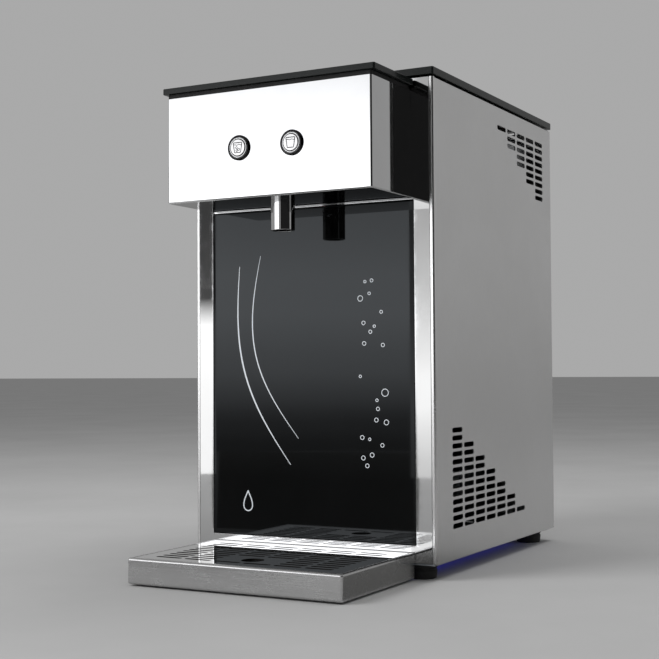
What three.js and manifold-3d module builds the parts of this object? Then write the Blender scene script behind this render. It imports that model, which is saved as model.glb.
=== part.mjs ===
// Countertop fountain soda dispenser: a steel cabinet with a dispensing head, a black glass front,
// a pull-out drip tray, and the cooling and carbonating equipment inside.
// Millimetres. +X is the user's right, -Y is towards the user, +Z is up, z = 0 is the worktop.

import * as THREE from 'three';
import { mergeVertices } from 'three/addons/utils/BufferGeometryUtils.js';
import Module from 'manifold-3d';

const wasm = await Module();
wasm.setup();

// ---------------------------------------------------------------- driving dimensions

const GAP = 0.3; // clearance between pieces that touch
const SHEET = 1.5; // stainless sheet
const FLANGE = 12; // width of a folded flange

// Cabinet
const HALF_WIDTH = 140;
const DEPTH = 348;
const FOOT_HEIGHT = 15;
const TOP_Z = 494; // top of the side panels
const LIP = 4.2; // how far the side panels fold round onto the front
const LIP_BEND = 2;
const LIP_STEPS = 4; // straight pieces in the bend

// Drip tray
const TRAY_REACH = 152; // from the cabinet's front face
const TRAY_HALF_WIDTH = 117.4;
const TRAY_BOTTOM = 1.6;
const TRAY_TOP = 27;
const TRAY_WALL = 1.2;
const TRAY_RIM = 4.2; // outer face to the grid's recess
const TRAY_EDGE = 2.5; // bend radius

// Overall depth is centred on y = 0
const REAR_REACH = 24; // longest rear fitting
const FRONT_Y = TRAY_REACH - (TRAY_REACH + DEPTH + REAR_REACH) / 2;
const REAR_Y = FRONT_Y + DEPTH;

// Lids
const LID_TOP = 503.5;
const LID_THICK = 7.5;
const LID_OVERHANG = 1;
const LID_FRONT_OVERHANG = 1.8;

// Dispensing head
const HEAD_HALF_WIDTH = 116;
const HEAD_REACH = 86;
const HEAD_BOTTOM = 375;
const HEAD_TOP = 482;
const HEAD_LID_THICK = 6;
const HEAD_LID_OVERHANG = 4.3;
const GASKET_HEIGHT = 4;
const HEAD_FRONT_Y = FRONT_Y - HEAD_REACH;

// Glass panel
const GLASS_HALF_WIDTH = 118;
const GLASS_BOTTOM = 34;
const GLASS_TOP = 373.5;
const GLASS_THICK = 4;

// Buttons
const BUTTON_X = 30;
const BUTTON_Z = 425;
const BEZEL_RADIUS = 12.5;
const BEZEL_PROUD = 2.2;
const BODY_RADIUS = 10.7; // threaded barrel, in a 22 mm hole
const CAP_RADIUS = 8.3;
const BUTTON_TRAVEL = 2;

// Nozzle
const NOZZLE_Y = FRONT_Y - 53;
const NOZZLE_RADIUS = 12;
const NOZZLE_BORE = 10;
const NOZZLE_BOTTOM = 344.6;

// Vents: stadium slots on a regular grid
const SLOT_LENGTH = 26;
const SLOT_HEIGHT = 5;
const SLOT_ARC = 2; // straight pieces in each round end
const VENT_PITCH_Y = 30;
const VENT_PITCH_Z = 8;
const LOWER_VENT = { y: FRONT_Y + 54, z: 49, columns: [13, 11, 9, 7, 5, 3, 1] };
const UPPER_VENT = { y: FRONT_Y + 306, z: 471.5, columns: [9, 7, 5, 3, 1] };

// Drip grid
const GRID_SLOT = { length: 29, width: 5.5, pitchX: 33, pitchY: 11, columns: 6, rows: 11 };
const GRID_THICK = 2;
const FINGER_HOLE = { y: FRONT_Y - 112, radius: 11 };

// Feet
const FOOT_X = 116;
const FOOT_FRONT_Y = FRONT_Y + 20;
const FOOT_REAR_Y = REAR_Y - 25;
const FOOT_RADIUS = 15;

// Inside
const SHELF_Z = 205;
const FAN = { x: 0, y: -12, z: 106, frame: 148, bore: 67, hub: 22, tip: 64, depth: 25 };

// ---------------------------------------------------------------- materials

function finish(hex, roughness, metalness) {
  return new THREE.MeshStandardMaterial({ color: hex, roughness, metalness, flatShading: true });
}

const MATERIALS = {
  mirrorSteel: finish(0xd8d8da, 0.06, 1),
  brushedSteel: finish(0x9c9e9c, 0.38, 1),
  zincSteel: finish(0xa9adb0, 0.5, 1),
  blackAcrylic: finish(0x0d0d0c, 0.25, 0),
  blackGlass: finish(0x050506, 0.05, 0),
  rubber: finish(0x0e0e0e, 0.8, 0),
  blackNylon: finish(0x161616, 0.5, 0),
  whiteNylon: finish(0xd9d9d4, 0.5, 0),
  foam: finish(0xe9e9e6, 0.9, 0),
  aluminium: finish(0xb4b7ba, 0.4, 1),
  copper: finish(0xb56a45, 0.35, 1),
  brass: finish(0xb89a52, 0.35, 1),
  blackEnamel: finish(0x121314, 0.35, 0.2),
  boardGreen: finish(0x1d5a35, 0.5, 0),
  blueTube: finish(0x2a5fb0, 0.4, 0),
  redTube: finish(0xb03a30, 0.4, 0),
  blueLight: finish(0x3560ff, 0.4, 0),
};

// ---------------------------------------------------------------- solids

const MERGE_DISTANCE = 1e-4;

// A closed BufferGeometry as a solid: vertices merged, slivers dropped, faces turned outwards.
function solid(geometry) {
  const bare = geometry.clone();
  bare.deleteAttribute('normal');
  bare.deleteAttribute('uv');
  const merged = mergeVertices(bare, MERGE_DISTANCE);
  const vertices = merged.attributes.position;
  const corners = [new THREE.Vector3(), new THREE.Vector3(), new THREE.Vector3()];
  const triangles = [];
  let volume = 0;
  for (let i = 0; i < merged.index.count; i += 3) {
    const [a, b, c] = [0, 1, 2].map((step) => merged.index.getX(i + step));
    if (a === b || b === c || c === a) continue;
    triangles.push(a, b, c);
    corners.forEach((corner, step) => corner.fromBufferAttribute(vertices, [a, b, c][step]));
    volume += corners[0].dot(corners[1].clone().cross(corners[2]));
  }
  if (volume < 0) triangles.reverse();
  const mesh = new wasm.Mesh({
    numProp: 3,
    vertProperties: new Float32Array(vertices.array),
    triVerts: new Uint32Array(triangles),
  });
  return new wasm.Manifold(mesh);
}

function join(...parts) {
  return parts.reduce((whole, part) => whole.add(part));
}

function cut(whole, ...tools) {
  return whole.subtract(join(...tools));
}

// A prism of a shape along one axis. The shape's x and y are the next two axes in turn:
// along x they are (y, z), along y they are (z, x), along z they are (x, y).
const AXES = {
  x: [new THREE.Vector3(0, 1, 0), new THREE.Vector3(0, 0, 1), new THREE.Vector3(1, 0, 0)],
  y: [new THREE.Vector3(0, 0, 1), new THREE.Vector3(1, 0, 0), new THREE.Vector3(0, 1, 0)],
  z: [new THREE.Vector3(1, 0, 0), new THREE.Vector3(0, 1, 0), new THREE.Vector3(0, 0, 1)],
};

// An arc in the shape becomes options.segments straight pieces.
function prism(shape, axis, from, to, options = {}) {
  const bevel = options.bevel ?? 0;
  const geometry = new THREE.ExtrudeGeometry(shape, {
    depth: to - from - 2 * bevel,
    curveSegments: (options.segments ?? 2) / 2,
    bevelEnabled: bevel > 0,
    bevelThickness: bevel,
    bevelSize: bevel,
    bevelOffset: -bevel,
    bevelSegments: options.bevelSegments ?? 1,
  });
  geometry.translate(0, 0, from + bevel);
  geometry.applyMatrix4(new THREE.Matrix4().makeBasis(...AXES[axis]));
  return solid(geometry);
}

function box(x0, x1, y0, y1, z0, z1) {
  const geometry = new THREE.BoxGeometry(Math.abs(x1 - x0), y1 - y0, z1 - z0);
  geometry.translate((x0 + x1) / 2, (y0 + y1) / 2, (z0 + z1) / 2);
  return solid(geometry);
}

// A rectangle with rounded corners, as a Shape.
function roundedRectangle(u0, u1, v0, v1, radius) {
  const shape = new THREE.Shape();
  shape.moveTo(u0 + radius, v0);
  shape.absarc(u1 - radius, v0 + radius, radius, -Math.PI / 2, 0);
  shape.absarc(u1 - radius, v1 - radius, radius, 0, Math.PI / 2);
  shape.absarc(u0 + radius, v1 - radius, radius, Math.PI / 2, Math.PI);
  shape.absarc(u0 + radius, v0 + radius, radius, Math.PI, 1.5 * Math.PI);
  return shape;
}

// A slot with round ends, long in u.
function stadium(u, v, length, width) {
  const radius = width / 2;
  const reach = length / 2 - radius;
  const shape = new THREE.Shape();
  shape.absarc(u + reach, v, radius, -Math.PI / 2, Math.PI / 2);
  shape.absarc(u - reach, v, radius, Math.PI / 2, 1.5 * Math.PI);
  return shape;
}

function disc(u, v, radius) {
  const shape = new THREE.Shape();
  shape.absarc(u, v, radius, 0, 2 * Math.PI);
  return shape;
}

function hexagon(u, v, acrossFlats) {
  const radius = acrossFlats / Math.sqrt(3);
  const points = Array.from({ length: 6 }, (_, i) => {
    const angle = (i * Math.PI) / 3;
    return new THREE.Vector2(u + radius * Math.cos(angle), v + radius * Math.sin(angle));
  });
  return new THREE.Shape(points);
}

// The same outline with its two axes exchanged: along y a shape's first axis is z.
function swapped(shape, segments) {
  return new THREE.Shape(shape.getPoints(segments / 2).map(({ x, y }) => new THREE.Vector2(y, x)));
}

// A round bar or bore along one axis; u and v are the next two axes in turn.
function rod(axis, u, v, radius, from, to, segments = 20) {
  return prism(disc(u, v, radius), axis, from, to, { segments });
}

// A turned solid. The profile is [radius, height] points that start and end on the axis or close
// on themselves; it stands at (x, y) along z, or at (x, z) along y.
function turned(profile, segments, axis, a, b) {
  const points = profile.map(([radius, height]) => new THREE.Vector2(radius, height));
  const geometry = new THREE.LatheGeometry(points, segments);
  if (axis === 'z') geometry.rotateX(Math.PI / 2).translate(a, b, 0);
  if (axis === 'y') geometry.translate(a, 0, b);
  return solid(geometry);
}

// A tube or solid bar along a smooth curve through the points.
function tube(points, radius, steps, sides = 8) {
  const corners = points.map((point) => new THREE.Vector3(...point));
  const path = new THREE.CatmullRomCurve3(corners, false, 'centripetal');
  const section = new THREE.Shape();
  section.absarc(0, 0, radius, 0, 2 * Math.PI);
  const geometry = new THREE.ExtrudeGeometry(section, {
    steps,
    curveSegments: sides / 2,
    bevelEnabled: false,
    extrudePath: path,
  });
  return solid(geometry);
}

// Vent slots whose columns step down one after the other, cut through a side panel.
function ventSlots(field, x0, x1, stepY, stepZ) {
  return field.columns.flatMap((count, column) =>
    Array.from({ length: count }, (_, row) => {
      const y = field.y + column * stepY;
      const z = field.z + row * stepZ;
      return prism(stadium(y, z, SLOT_LENGTH, SLOT_HEIGHT), 'x', x0, x1, { segments: SLOT_ARC });
    }),
  );
}

// ---------------------------------------------------------------- the assembly

const dispenser = new THREE.Group();

function add(name, part, material) {
  const { numProp, vertProperties, triVerts } = part.getMesh();
  const geometry = new THREE.BufferGeometry();
  geometry.setAttribute('position', new THREE.BufferAttribute(vertProperties, numProp));
  geometry.setIndex(new THREE.BufferAttribute(triVerts, 1));
  geometry.computeVertexNormals();
  const mesh = new THREE.Mesh(geometry, material);
  mesh.name = name;
  dispenser.add(mesh);
}

const SIDES = [
  ['left', -1],
  ['right', 1],
];

// A box whose x range is given for the right side and mirrored for the left.
function sideBox(side, x0, x1, y0, y1, z0, z1) {
  return box(Math.min(side * x0, side * x1), Math.max(side * x0, side * x1), y0, y1, z0, z1);
}

// ---------------------------------------------------------------- cabinet

const PLATE_REAR = FRONT_Y + SHEET; // back of the front plate
const REAR_INNER = REAR_Y - SHEET; // inside of the rear panel
const FRONT_PLATE_HALF_WIDTH = HALF_WIDTH - LIP - GAP; // between the side panels' lips
const REAR_PANEL_HALF_WIDTH = HALF_WIDTH - SHEET - GAP; // between the side panels
const BASE_TOP = FOOT_HEIGHT + SHEET;
const WALL_INNER = HALF_WIDTH - SHEET;
const PEG = { x: 130, front: FRONT_Y + 40, rear: REAR_Y - 40, radius: 2.5, length: 7 };
const SERVICE_WINDOW = { halfWidth: 95, z0: 392, z1: 470 }; // lets tubes and wires into the head
const LOUVRE = { x: 40, z: 260, length: 60, pitch: 14, rows: 6 }; // two columns in the rear panel

// The narrow fold along a side panel's front edge, with its bend.
function panelLip(side) {
  const [inner, outer] = [HALF_WIDTH - LIP, HALF_WIDTH];
  const arc = new THREE.Shape();
  arc.absarc(outer - LIP_BEND, FRONT_Y + LIP_BEND, LIP_BEND, -Math.PI / 2, 0);
  const outline = [
    new THREE.Vector2(WALL_INNER, FRONT_Y + LIP_BEND + 1),
    new THREE.Vector2(WALL_INNER, PLATE_REAR),
    new THREE.Vector2(inner, PLATE_REAR),
    new THREE.Vector2(inner, FRONT_Y),
    ...arc.getPoints(LIP_STEPS),
    new THREE.Vector2(outer, FRONT_Y + LIP_BEND + 1),
  ];
  const points = outline.map(({ x, y }) => new THREE.Vector2(side * x, y));
  return prism(new THREE.Shape(points), 'z', BASE_TOP + GAP, TOP_Z);
}

function sidePanel(side) {
  const flangeX = HALF_WIDTH - SHEET - FLANGE;
  const seam = WALL_INNER + 0.5;
  const front = PLATE_REAR + GAP;
  const rear = REAR_INNER - GAP;
  const sheet = sideBox(side, WALL_INNER, HALF_WIDTH, FRONT_Y + LIP_BEND, REAR_Y, FOOT_HEIGHT, TOP_Z);
  const half = SHEET / 2; // how far each flange runs into the next
  const [low, high] = [BASE_TOP + GAP, TOP_Z - GAP];
  const flanges = [
    sideBox(side, flangeX + 1, seam, front, front + SHEET, low + half, high - half),
    sideBox(side, flangeX + 1, seam, rear - SHEET, rear, low + half, high - half),
    sideBox(side, flangeX, seam, front + half, rear - half, low, low + SHEET),
    sideBox(side, flangeX, seam, front + half, rear - half, high - SHEET, high),
  ];
  const outside = side * (HALF_WIDTH + 1);
  const inside = side * (WALL_INNER - 1);
  const [x0, x1] = [Math.min(inside, outside), Math.max(inside, outside)];
  const vents = [
    ...ventSlots(LOWER_VENT, x0, x1, VENT_PITCH_Y, VENT_PITCH_Z),
    ...ventSlots(UPPER_VENT, x0, x1, -VENT_PITCH_Y, -VENT_PITCH_Z),
  ];
  const pegHoles = [PEG.front, PEG.rear].map((y) =>
    rod('z', side * PEG.x, y, PEG.radius + 0.5, TOP_Z - 3, TOP_Z + 1, 10),
  );
  return cut(join(sheet, panelLip(side), ...flanges), ...vents, ...pegHoles);
}

SIDES.forEach(([name, side]) => add(`${name}_side_panel`, sidePanel(side), MATERIALS.brushedSteel));

function frontPlate() {
  const edge = FRONT_PLATE_HALF_WIDTH;
  const plate = box(-edge, edge, FRONT_Y, PLATE_REAR, BASE_TOP + GAP, TOP_Z);
  const reveal = GAP + 0.3;
  const glassWindow = box(
    -GLASS_HALF_WIDTH - reveal,
    GLASS_HALF_WIDTH + reveal,
    FRONT_Y - 1,
    PLATE_REAR + 1,
    GLASS_BOTTOM - reveal,
    GLASS_TOP + GAP,
  );
  const { halfWidth, z0, z1 } = SERVICE_WINDOW;
  const serviceWindow = box(-halfWidth, halfWidth, FRONT_Y - 1, PLATE_REAR + 1, z0, z1);
  return cut(plate, glassWindow, serviceWindow);
}

add('front_plate', frontPlate(), MATERIALS.mirrorSteel);

function rearPanel() {
  const edge = REAR_PANEL_HALF_WIDTH;
  const panel = box(-edge, edge, REAR_INNER, REAR_Y, BASE_TOP + GAP, TOP_Z);
  const through = [REAR_INNER - 1, REAR_Y + 1];
  const { length, pitch, rows } = LOUVRE;
  const louvres = SIDES.flatMap(([, side]) =>
    Array.from({ length: rows }, (_, row) => {
      const slot = swapped(stadium(side * LOUVRE.x, LOUVRE.z + row * pitch, length, SLOT_HEIGHT), SLOT_ARC);
      return prism(slot, 'y', ...through);
    }),
  );
  const fittingHoles = [
    rod('y', WATER_Z, WATER_X, STUB_THREAD + 0.4, ...through, 16),
    rod('y', GAS_Z, GAS_X, STUB_THREAD + 0.4, ...through, 16),
    rod('y', KNOB_Z, KNOB_X, 5.4, ...through, 16),
    box(MAINS_X - 14.2, MAINS_X + 14.2, ...through, MAINS_Z - 10.7, MAINS_Z + 10.7),
    box(ROCKER_X - 11.2, ROCKER_X + 11.2, ...through, ROCKER_Z - 14.7, ROCKER_Z + 14.7),
  ];
  return cut(panel, ...louvres, ...fittingHoles);
}

function basePlate() {
  const plate = box(-WALL_INNER + GAP, WALL_INNER - GAP, FRONT_Y, REAR_Y, FOOT_HEIGHT, BASE_TOP);
  const footHoles = footPlaces().map(([, x, y]) =>
    rod('z', x, y, 3.2, FOOT_HEIGHT - 1, BASE_TOP + 1, 10),
  );
  return cut(plate, ...footHoles);
}

function footPlaces() {
  return SIDES.flatMap(([name, side]) => [
    [`foot_front_${name}`, side * FOOT_X, FOOT_FRONT_Y],
    [`foot_rear_${name}`, side * FOOT_X, FOOT_REAR_Y],
  ]);
}

// A moulded rubber foot with its stud, which stands up through the base plate.
function foot(x, y) {
  const top = FOOT_HEIGHT - GAP;
  const profile = [
    [0, 1.5],
    [7, 1.5],
    [8, 0],
    [FOOT_RADIUS - 2, 0],
    [FOOT_RADIUS - 1, 1],
    [FOOT_RADIUS, top],
    [2.8, top],
    [2.8, FOOT_HEIGHT + 8],
    [0, FOOT_HEIGHT + 8],
  ];
  return turned(profile, 16, 'z', x, y);
}

add('base_plate', basePlate(), MATERIALS.zincSteel);
footPlaces().forEach(([name, x, y]) => add(name, foot(x, y), MATERIALS.rubber));

// Both lids are black acrylic plates with eased edges; the main lid's pegs drop into the flanges.
function mainLid() {
  const outline = roundedRectangle(
    -HALF_WIDTH - LID_OVERHANG,
    HALF_WIDTH + LID_OVERHANG,
    FRONT_Y - LID_FRONT_OVERHANG,
    REAR_Y + LID_OVERHANG,
    2,
  );
  const plate = prism(outline, 'z', LID_TOP - LID_THICK, LID_TOP, { segments: 2, bevel: 0.5 });
  const pegs = SIDES.flatMap(([, side]) =>
    [PEG.front, PEG.rear].map((y) =>
      rod('z', side * PEG.x, y, PEG.radius, LID_TOP - LID_THICK - PEG.length, LID_TOP - 2, 10),
    ),
  );
  return join(plate, ...pegs);
}

add('main_lid', mainLid(), MATERIALS.blackAcrylic);

// ---------------------------------------------------------------- dispensing head

const HEAD_REAR_Y = FRONT_Y - GAP;
const HEAD_LID_BOTTOM = HEAD_TOP + GAP + GASKET_HEIGHT;
const HEAD_LID_TOP = HEAD_LID_BOTTOM + HEAD_LID_THICK;
const HEAD_LID_REAR_Y = FRONT_Y - LID_FRONT_OVERHANG - 0.4;

// One sheet folded into front, sides and underside, with flanges that bolt to the front plate.
function headShell() {
  const outline = roundedRectangle(-HEAD_HALF_WIDTH, HEAD_HALF_WIDTH, HEAD_FRONT_Y, HEAD_REAR_Y + 6, 2);
  const block = prism(outline, 'z', HEAD_BOTTOM, HEAD_TOP, { segments: 3 });
  const inner = HEAD_HALF_WIDTH - SHEET;
  const hollow = box(-inner, inner, HEAD_FRONT_Y + SHEET, HEAD_REAR_Y, HEAD_BOTTOM + SHEET, HEAD_TOP + 1);
  const behind = box(-150, 150, HEAD_REAR_Y, HEAD_REAR_Y + 10, HEAD_BOTTOM - 1, HEAD_TOP + 1);
  const flanges = SIDES.map(([, side]) =>
    sideBox(side, inner - FLANGE, inner + 0.5, HEAD_REAR_Y - SHEET, HEAD_REAR_Y, HEAD_BOTTOM + 1, HEAD_TOP),
  );
  const buttonHoles = SIDES.map(([, side]) =>
    rod('y', BUTTON_Z, side * BUTTON_X, BODY_RADIUS + 0.3, HEAD_FRONT_Y - 1, HEAD_FRONT_Y + 5, 24),
  );
  const nozzleHole = rod('z', 0, NOZZLE_Y, NOZZLE_RADIUS + GAP, HEAD_BOTTOM - 1, HEAD_BOTTOM + 5, 24);
  return cut(join(cut(block, hollow, behind), ...flanges), ...buttonHoles, nozzleHole);
}

function headGasket() {
  const z0 = HEAD_TOP + GAP;
  const z1 = z0 + GASKET_HEIGHT - GAP;
  const outer = HEAD_HALF_WIDTH - 0.4;
  const width = 6;
  const outline = roundedRectangle(-outer, outer, HEAD_FRONT_Y + 0.4, HEAD_LID_REAR_Y, 2);
  const ring = prism(outline, 'z', z0, z1, { segments: 3 });
  const window = box(
    -outer + width,
    outer - width,
    HEAD_FRONT_Y + width,
    HEAD_LID_REAR_Y - width,
    z0 - 1,
    z1 + 1,
  );
  return cut(ring, window);
}

// The head lid's four legs drop inside the gasket and keep the lid from sliding.
function headLid() {
  const halfWidth = HEAD_HALF_WIDTH + HEAD_LID_OVERHANG;
  const frontY = HEAD_FRONT_Y - 2.5;
  const outline = roundedRectangle(-halfWidth, halfWidth, frontY, HEAD_LID_REAR_Y, 2);
  const plate = prism(outline, 'z', HEAD_LID_BOTTOM, HEAD_LID_TOP, { segments: 2, bevel: 0.5 });
  const legs = SIDES.flatMap(([, side]) =>
    [HEAD_FRONT_Y + 12, HEAD_LID_REAR_Y - 10].map((y) =>
      rod('z', side * (HEAD_HALF_WIDTH - 12), y, PEG.radius, HEAD_TOP - 4, HEAD_LID_BOTTOM + 2, 10),
    ),
  );
  return join(plate, ...legs);
}

add('head_shell', headShell(), MATERIALS.mirrorSteel);
add('head_gasket', headGasket(), MATERIALS.rubber);
add('head_lid', headLid(), MATERIALS.blackAcrylic);

// A 22 mm push button: bezel with a threaded barrel, cap, lock nut and switch body.
const BARREL_DEPTH = 26; // behind the panel
const CAP_PROUD = 3; // beyond the panel
const CAP_DEPTH = 9;
const SWITCH_DEPTH = 8;

function buttonBezel(x) {
  const face = HEAD_FRONT_Y - GAP;
  const bore = CAP_RADIUS + GAP;
  const back = HEAD_FRONT_Y + BARREL_DEPTH;
  const profile = [
    [bore, face - BEZEL_PROUD + 0.6],
    [BEZEL_RADIUS - 2.2, face - BEZEL_PROUD],
    [BEZEL_RADIUS - 0.8, face - BEZEL_PROUD],
    [BEZEL_RADIUS, face - BEZEL_PROUD + 0.8],
    [BEZEL_RADIUS, face],
    [BODY_RADIUS, face],
    [BODY_RADIUS, back],
    [bore, back],
    [bore, face - BEZEL_PROUD + 0.6],
  ];
  return turned(profile, 20, 'y', x, BUTTON_Z);
}

function buttonCap(x) {
  const front = HEAD_FRONT_Y - CAP_PROUD;
  const profile = [
    [0, front],
    [CAP_RADIUS - 0.6, front],
    [CAP_RADIUS, front + 0.6],
    [CAP_RADIUS, front + CAP_DEPTH],
    [0, front + CAP_DEPTH],
  ];
  return turned(profile, 20, 'y', x, BUTTON_Z);
}

function buttonNut(x) {
  const y0 = HEAD_FRONT_Y + SHEET + GAP;
  const nut = prism(hexagon(BUTTON_Z, x, 26), 'y', y0, y0 + 4);
  return cut(nut, rod('y', BUTTON_Z, x, BODY_RADIUS + GAP, y0 - 1, y0 + 6, 18));
}

// The switch body closes the barrel, with two terminals behind it.
function buttonSwitch(x) {
  const y0 = HEAD_FRONT_Y - CAP_PROUD + CAP_DEPTH + BUTTON_TRAVEL + 2;
  const y1 = HEAD_FRONT_Y + BARREL_DEPTH + SWITCH_DEPTH;
  const body = rod('y', BUTTON_Z, x, CAP_RADIUS, y0, y1, 16);
  const terminals = [-3, 3].map((dx) =>
    box(x + dx - 0.4, x + dx + 0.4, y1 - 1, y1 + 6, BUTTON_Z - 1.4, BUTTON_Z + 1.4),
  );
  return join(body, ...terminals);
}

SIDES.forEach(([name, side]) => {
  add(`button_bezel_${name}`, buttonBezel(side * BUTTON_X), MATERIALS.mirrorSteel);
  add(`button_cap_${name}`, buttonCap(side * BUTTON_X), MATERIALS.brushedSteel);
  add(`button_nut_${name}`, buttonNut(side * BUTTON_X), MATERIALS.zincSteel);
  add(`button_switch_${name}`, buttonSwitch(side * BUTTON_X), MATERIALS.blackNylon);
});

// Nozzle: tube, diffuser, and the block above the head's floor that holds and feeds it.
const FLOOR_TOP = HEAD_BOTTOM + SHEET;
const TUBE_TOP = FLOOR_TOP + 14;
const BLOCK_TOP = TUBE_TOP + 22;
const VALVE_X = 15;
const VALVE_Y = NOZZLE_Y + 22;
const VALVE_Z = BLOCK_TOP + GAP;
const VALVE_STUB_Y = VALVE_Y + 20;

function nozzleTube() {
  const profile = [
    [NOZZLE_BORE, NOZZLE_BOTTOM],
    [NOZZLE_RADIUS - 0.5, NOZZLE_BOTTOM],
    [NOZZLE_RADIUS, NOZZLE_BOTTOM + 0.5],
    [NOZZLE_RADIUS, TUBE_TOP],
    [NOZZLE_BORE, TUBE_TOP],
    [NOZZLE_BORE, NOZZLE_BOTTOM],
  ];
  return turned(profile, 28, 'z', 0, NOZZLE_Y);
}

function nozzleDiffuser() {
  const z0 = NOZZLE_BOTTOM + 9;
  const bore = NOZZLE_BORE - GAP;
  const plug = rod('z', 0, NOZZLE_Y, bore, z0, z0 + 6, 18);
  const holes = Array.from({ length: 6 }, (_, i) => {
    const angle = (i * Math.PI) / 3;
    const [x, y] = [5.6 * Math.cos(angle), NOZZLE_Y + 5.6 * Math.sin(angle)];
    return rod('z', x, y, 1.4, z0 - 1, z0 + 8, 6);
  });
  return cut(plug, ...holes);
}

function nozzleBlock() {
  const z0 = TUBE_TOP + GAP;
  const block = box(-27, 27, NOZZLE_Y - 15, VALVE_Y + 14, z0, BLOCK_TOP);
  return cut(block, rod('z', 0, NOZZLE_Y, 6, z0 - 1, z0 + 10, 12));
}

add('nozzle_tube', nozzleTube(), MATERIALS.mirrorSteel);
add('nozzle_diffuser', nozzleDiffuser(), MATERIALS.blackNylon);
add('nozzle_block', nozzleBlock(), MATERIALS.whiteNylon);

// A solenoid valve on the block: square coil on a round stem, with a hose stub behind.
function solenoidValve(x) {
  const stem = rod('z', x, VALVE_Y, 7, VALVE_Z, VALVE_Z + 30, 12);
  const coil = box(x - 12, x + 12, VALVE_Y - 13, VALVE_Y + 13, VALVE_Z + 14, VALVE_Z + 42);
  const stub = rod('y', VALVE_Z + 7, x, 4, VALVE_Y + 4, VALVE_STUB_Y, 8);
  return join(stem, coil, stub);
}

add('still_valve', solenoidValve(VALVE_X), MATERIALS.blackNylon);
add('soda_valve', solenoidValve(-VALVE_X), MATERIALS.blackNylon);

// ---------------------------------------------------------------- glass panel

function glassPanel() {
  const outline = roundedRectangle(-GLASS_HALF_WIDTH, GLASS_HALF_WIDTH, GLASS_BOTTOM, GLASS_TOP, 1.5);
  return prism(swapped(outline, 2), 'y', FRONT_Y + 0.4, FRONT_Y + 0.4 + GLASS_THICK);
}

add('glass_panel', glassPanel(), MATERIALS.blackGlass);

// ---------------------------------------------------------------- drip tray

const TRAY_FRONT_Y = FRONT_Y - TRAY_REACH;
const TRAY_REAR_Y = FRONT_Y - GAP - 0.2;
const GRID_Z = TRAY_TOP - GRID_THICK - 0.2;
const LEDGE = 4;
const TONGUE = { x: 72, halfWidth: 10, z0: 9.8, z1: 12.8, length: 60 };

// A folded pan whose top turns in to a ledge that carries the grid; two straight tongues reach
// back under the cabinet.
function trayBody() {
  const w = TRAY_HALF_WIDTH;
  const outline = roundedRectangle(-w, w, TRAY_FRONT_Y, TRAY_REAR_Y, TRAY_EDGE + 0.3);
  const options = { segments: 3, bevel: TRAY_EDGE, bevelSegments: 3 };
  const block = prism(outline, 'z', TRAY_BOTTOM, TRAY_TOP, options);
  const inset = (d, z0, z1) => box(-w + d, w - d, TRAY_FRONT_Y + d, TRAY_REAR_Y - d, z0, z1);
  const recess = inset(TRAY_RIM, GRID_Z - GAP, TRAY_TOP + 1);
  const well = inset(TRAY_RIM + LEDGE, TRAY_BOTTOM + 10, TRAY_TOP + 1);
  const pan = inset(TRAY_WALL, TRAY_BOTTOM + TRAY_WALL + 0.6, GRID_Z - GAP - TRAY_WALL);
  const tongues = SIDES.map(([, side]) =>
    sideBox(
      side,
      TONGUE.x - TONGUE.halfWidth,
      TONGUE.x + TONGUE.halfWidth,
      TRAY_REAR_Y - TRAY_WALL,
      TRAY_REAR_Y + TONGUE.length,
      TONGUE.z0,
      TONGUE.z1,
    ),
  );
  return join(cut(block, recess, well, pan), ...tongues);
}

function trayGrid() {
  const clearance = TRAY_RIM + 0.5;
  const halfWidth = TRAY_HALF_WIDTH - clearance;
  const plate = box(
    -halfWidth,
    halfWidth,
    TRAY_FRONT_Y + clearance,
    TRAY_REAR_Y - clearance,
    GRID_Z,
    GRID_Z + GRID_THICK,
  );
  const { length, width, pitchX, pitchY, columns, rows } = GRID_SLOT;
  const centreY = (TRAY_FRONT_Y + TRAY_REAR_Y) / 2;
  const slots = [];
  for (let column = 0; column < columns; column += 1) {
    for (let row = 0; row < rows; row += 1) {
      const x = (column - (columns - 1) / 2) * pitchX;
      const y = centreY + (row - (rows - 1) / 2) * pitchY;
      const nearHole = Math.hypot(Math.max(Math.abs(x) - length / 2, 0), y - FINGER_HOLE.y);
      if (nearHole < FINGER_HOLE.radius + width) continue;
      const slot = stadium(x, y, length, width);
      slots.push(prism(slot, 'z', GRID_Z - 1, GRID_Z + GRID_THICK + 1, { segments: SLOT_ARC }));
    }
  }
  const hole = rod('z', 0, FINGER_HOLE.y, FINGER_HOLE.radius, GRID_Z - 1, TRAY_TOP + 1, 24);
  return cut(plate, ...slots, hole);
}

// A channel under the base plate in which one tongue slides.
function trayGuide(side) {
  const [z0, z1] = [TONGUE.z0 - 1.8, FOOT_HEIGHT - GAP];
  const inner = TONGUE.halfWidth + 0.8;
  const outer = inner + 1.5;
  const [y0, y1] = [FRONT_Y + 4, FRONT_Y + 76];
  const channel = sideBox(side, TONGUE.x - outer, TONGUE.x + outer, y0, y1, z0, z1);
  const wings = sideBox(side, TONGUE.x - outer - 8, TONGUE.x + outer + 8, y0, y1, z1 - 1.2, z1);
  const slot = sideBox(side, TONGUE.x - inner, TONGUE.x + inner, y0 - 1, y1 + 1, z0 + 1.2, z1 + 1);
  return cut(join(channel, wings), slot);
}

add('drip_tray', trayBody(), MATERIALS.brushedSteel);
add('drip_grid', trayGrid(), MATERIALS.mirrorSteel);
SIDES.forEach(([name, side]) => {
  add(`tray_guide_${name}`, trayGuide(side), MATERIALS.zincSteel);
});

// One flexible strip of lamps runs down both sides under the base plate and across behind the guides.
const STRIP = { x0: 94, x1: 100.5, front: FRONT_Y + 8, rear: REAR_Y - 50, crossing: FRONT_Y + 82 };

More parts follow.
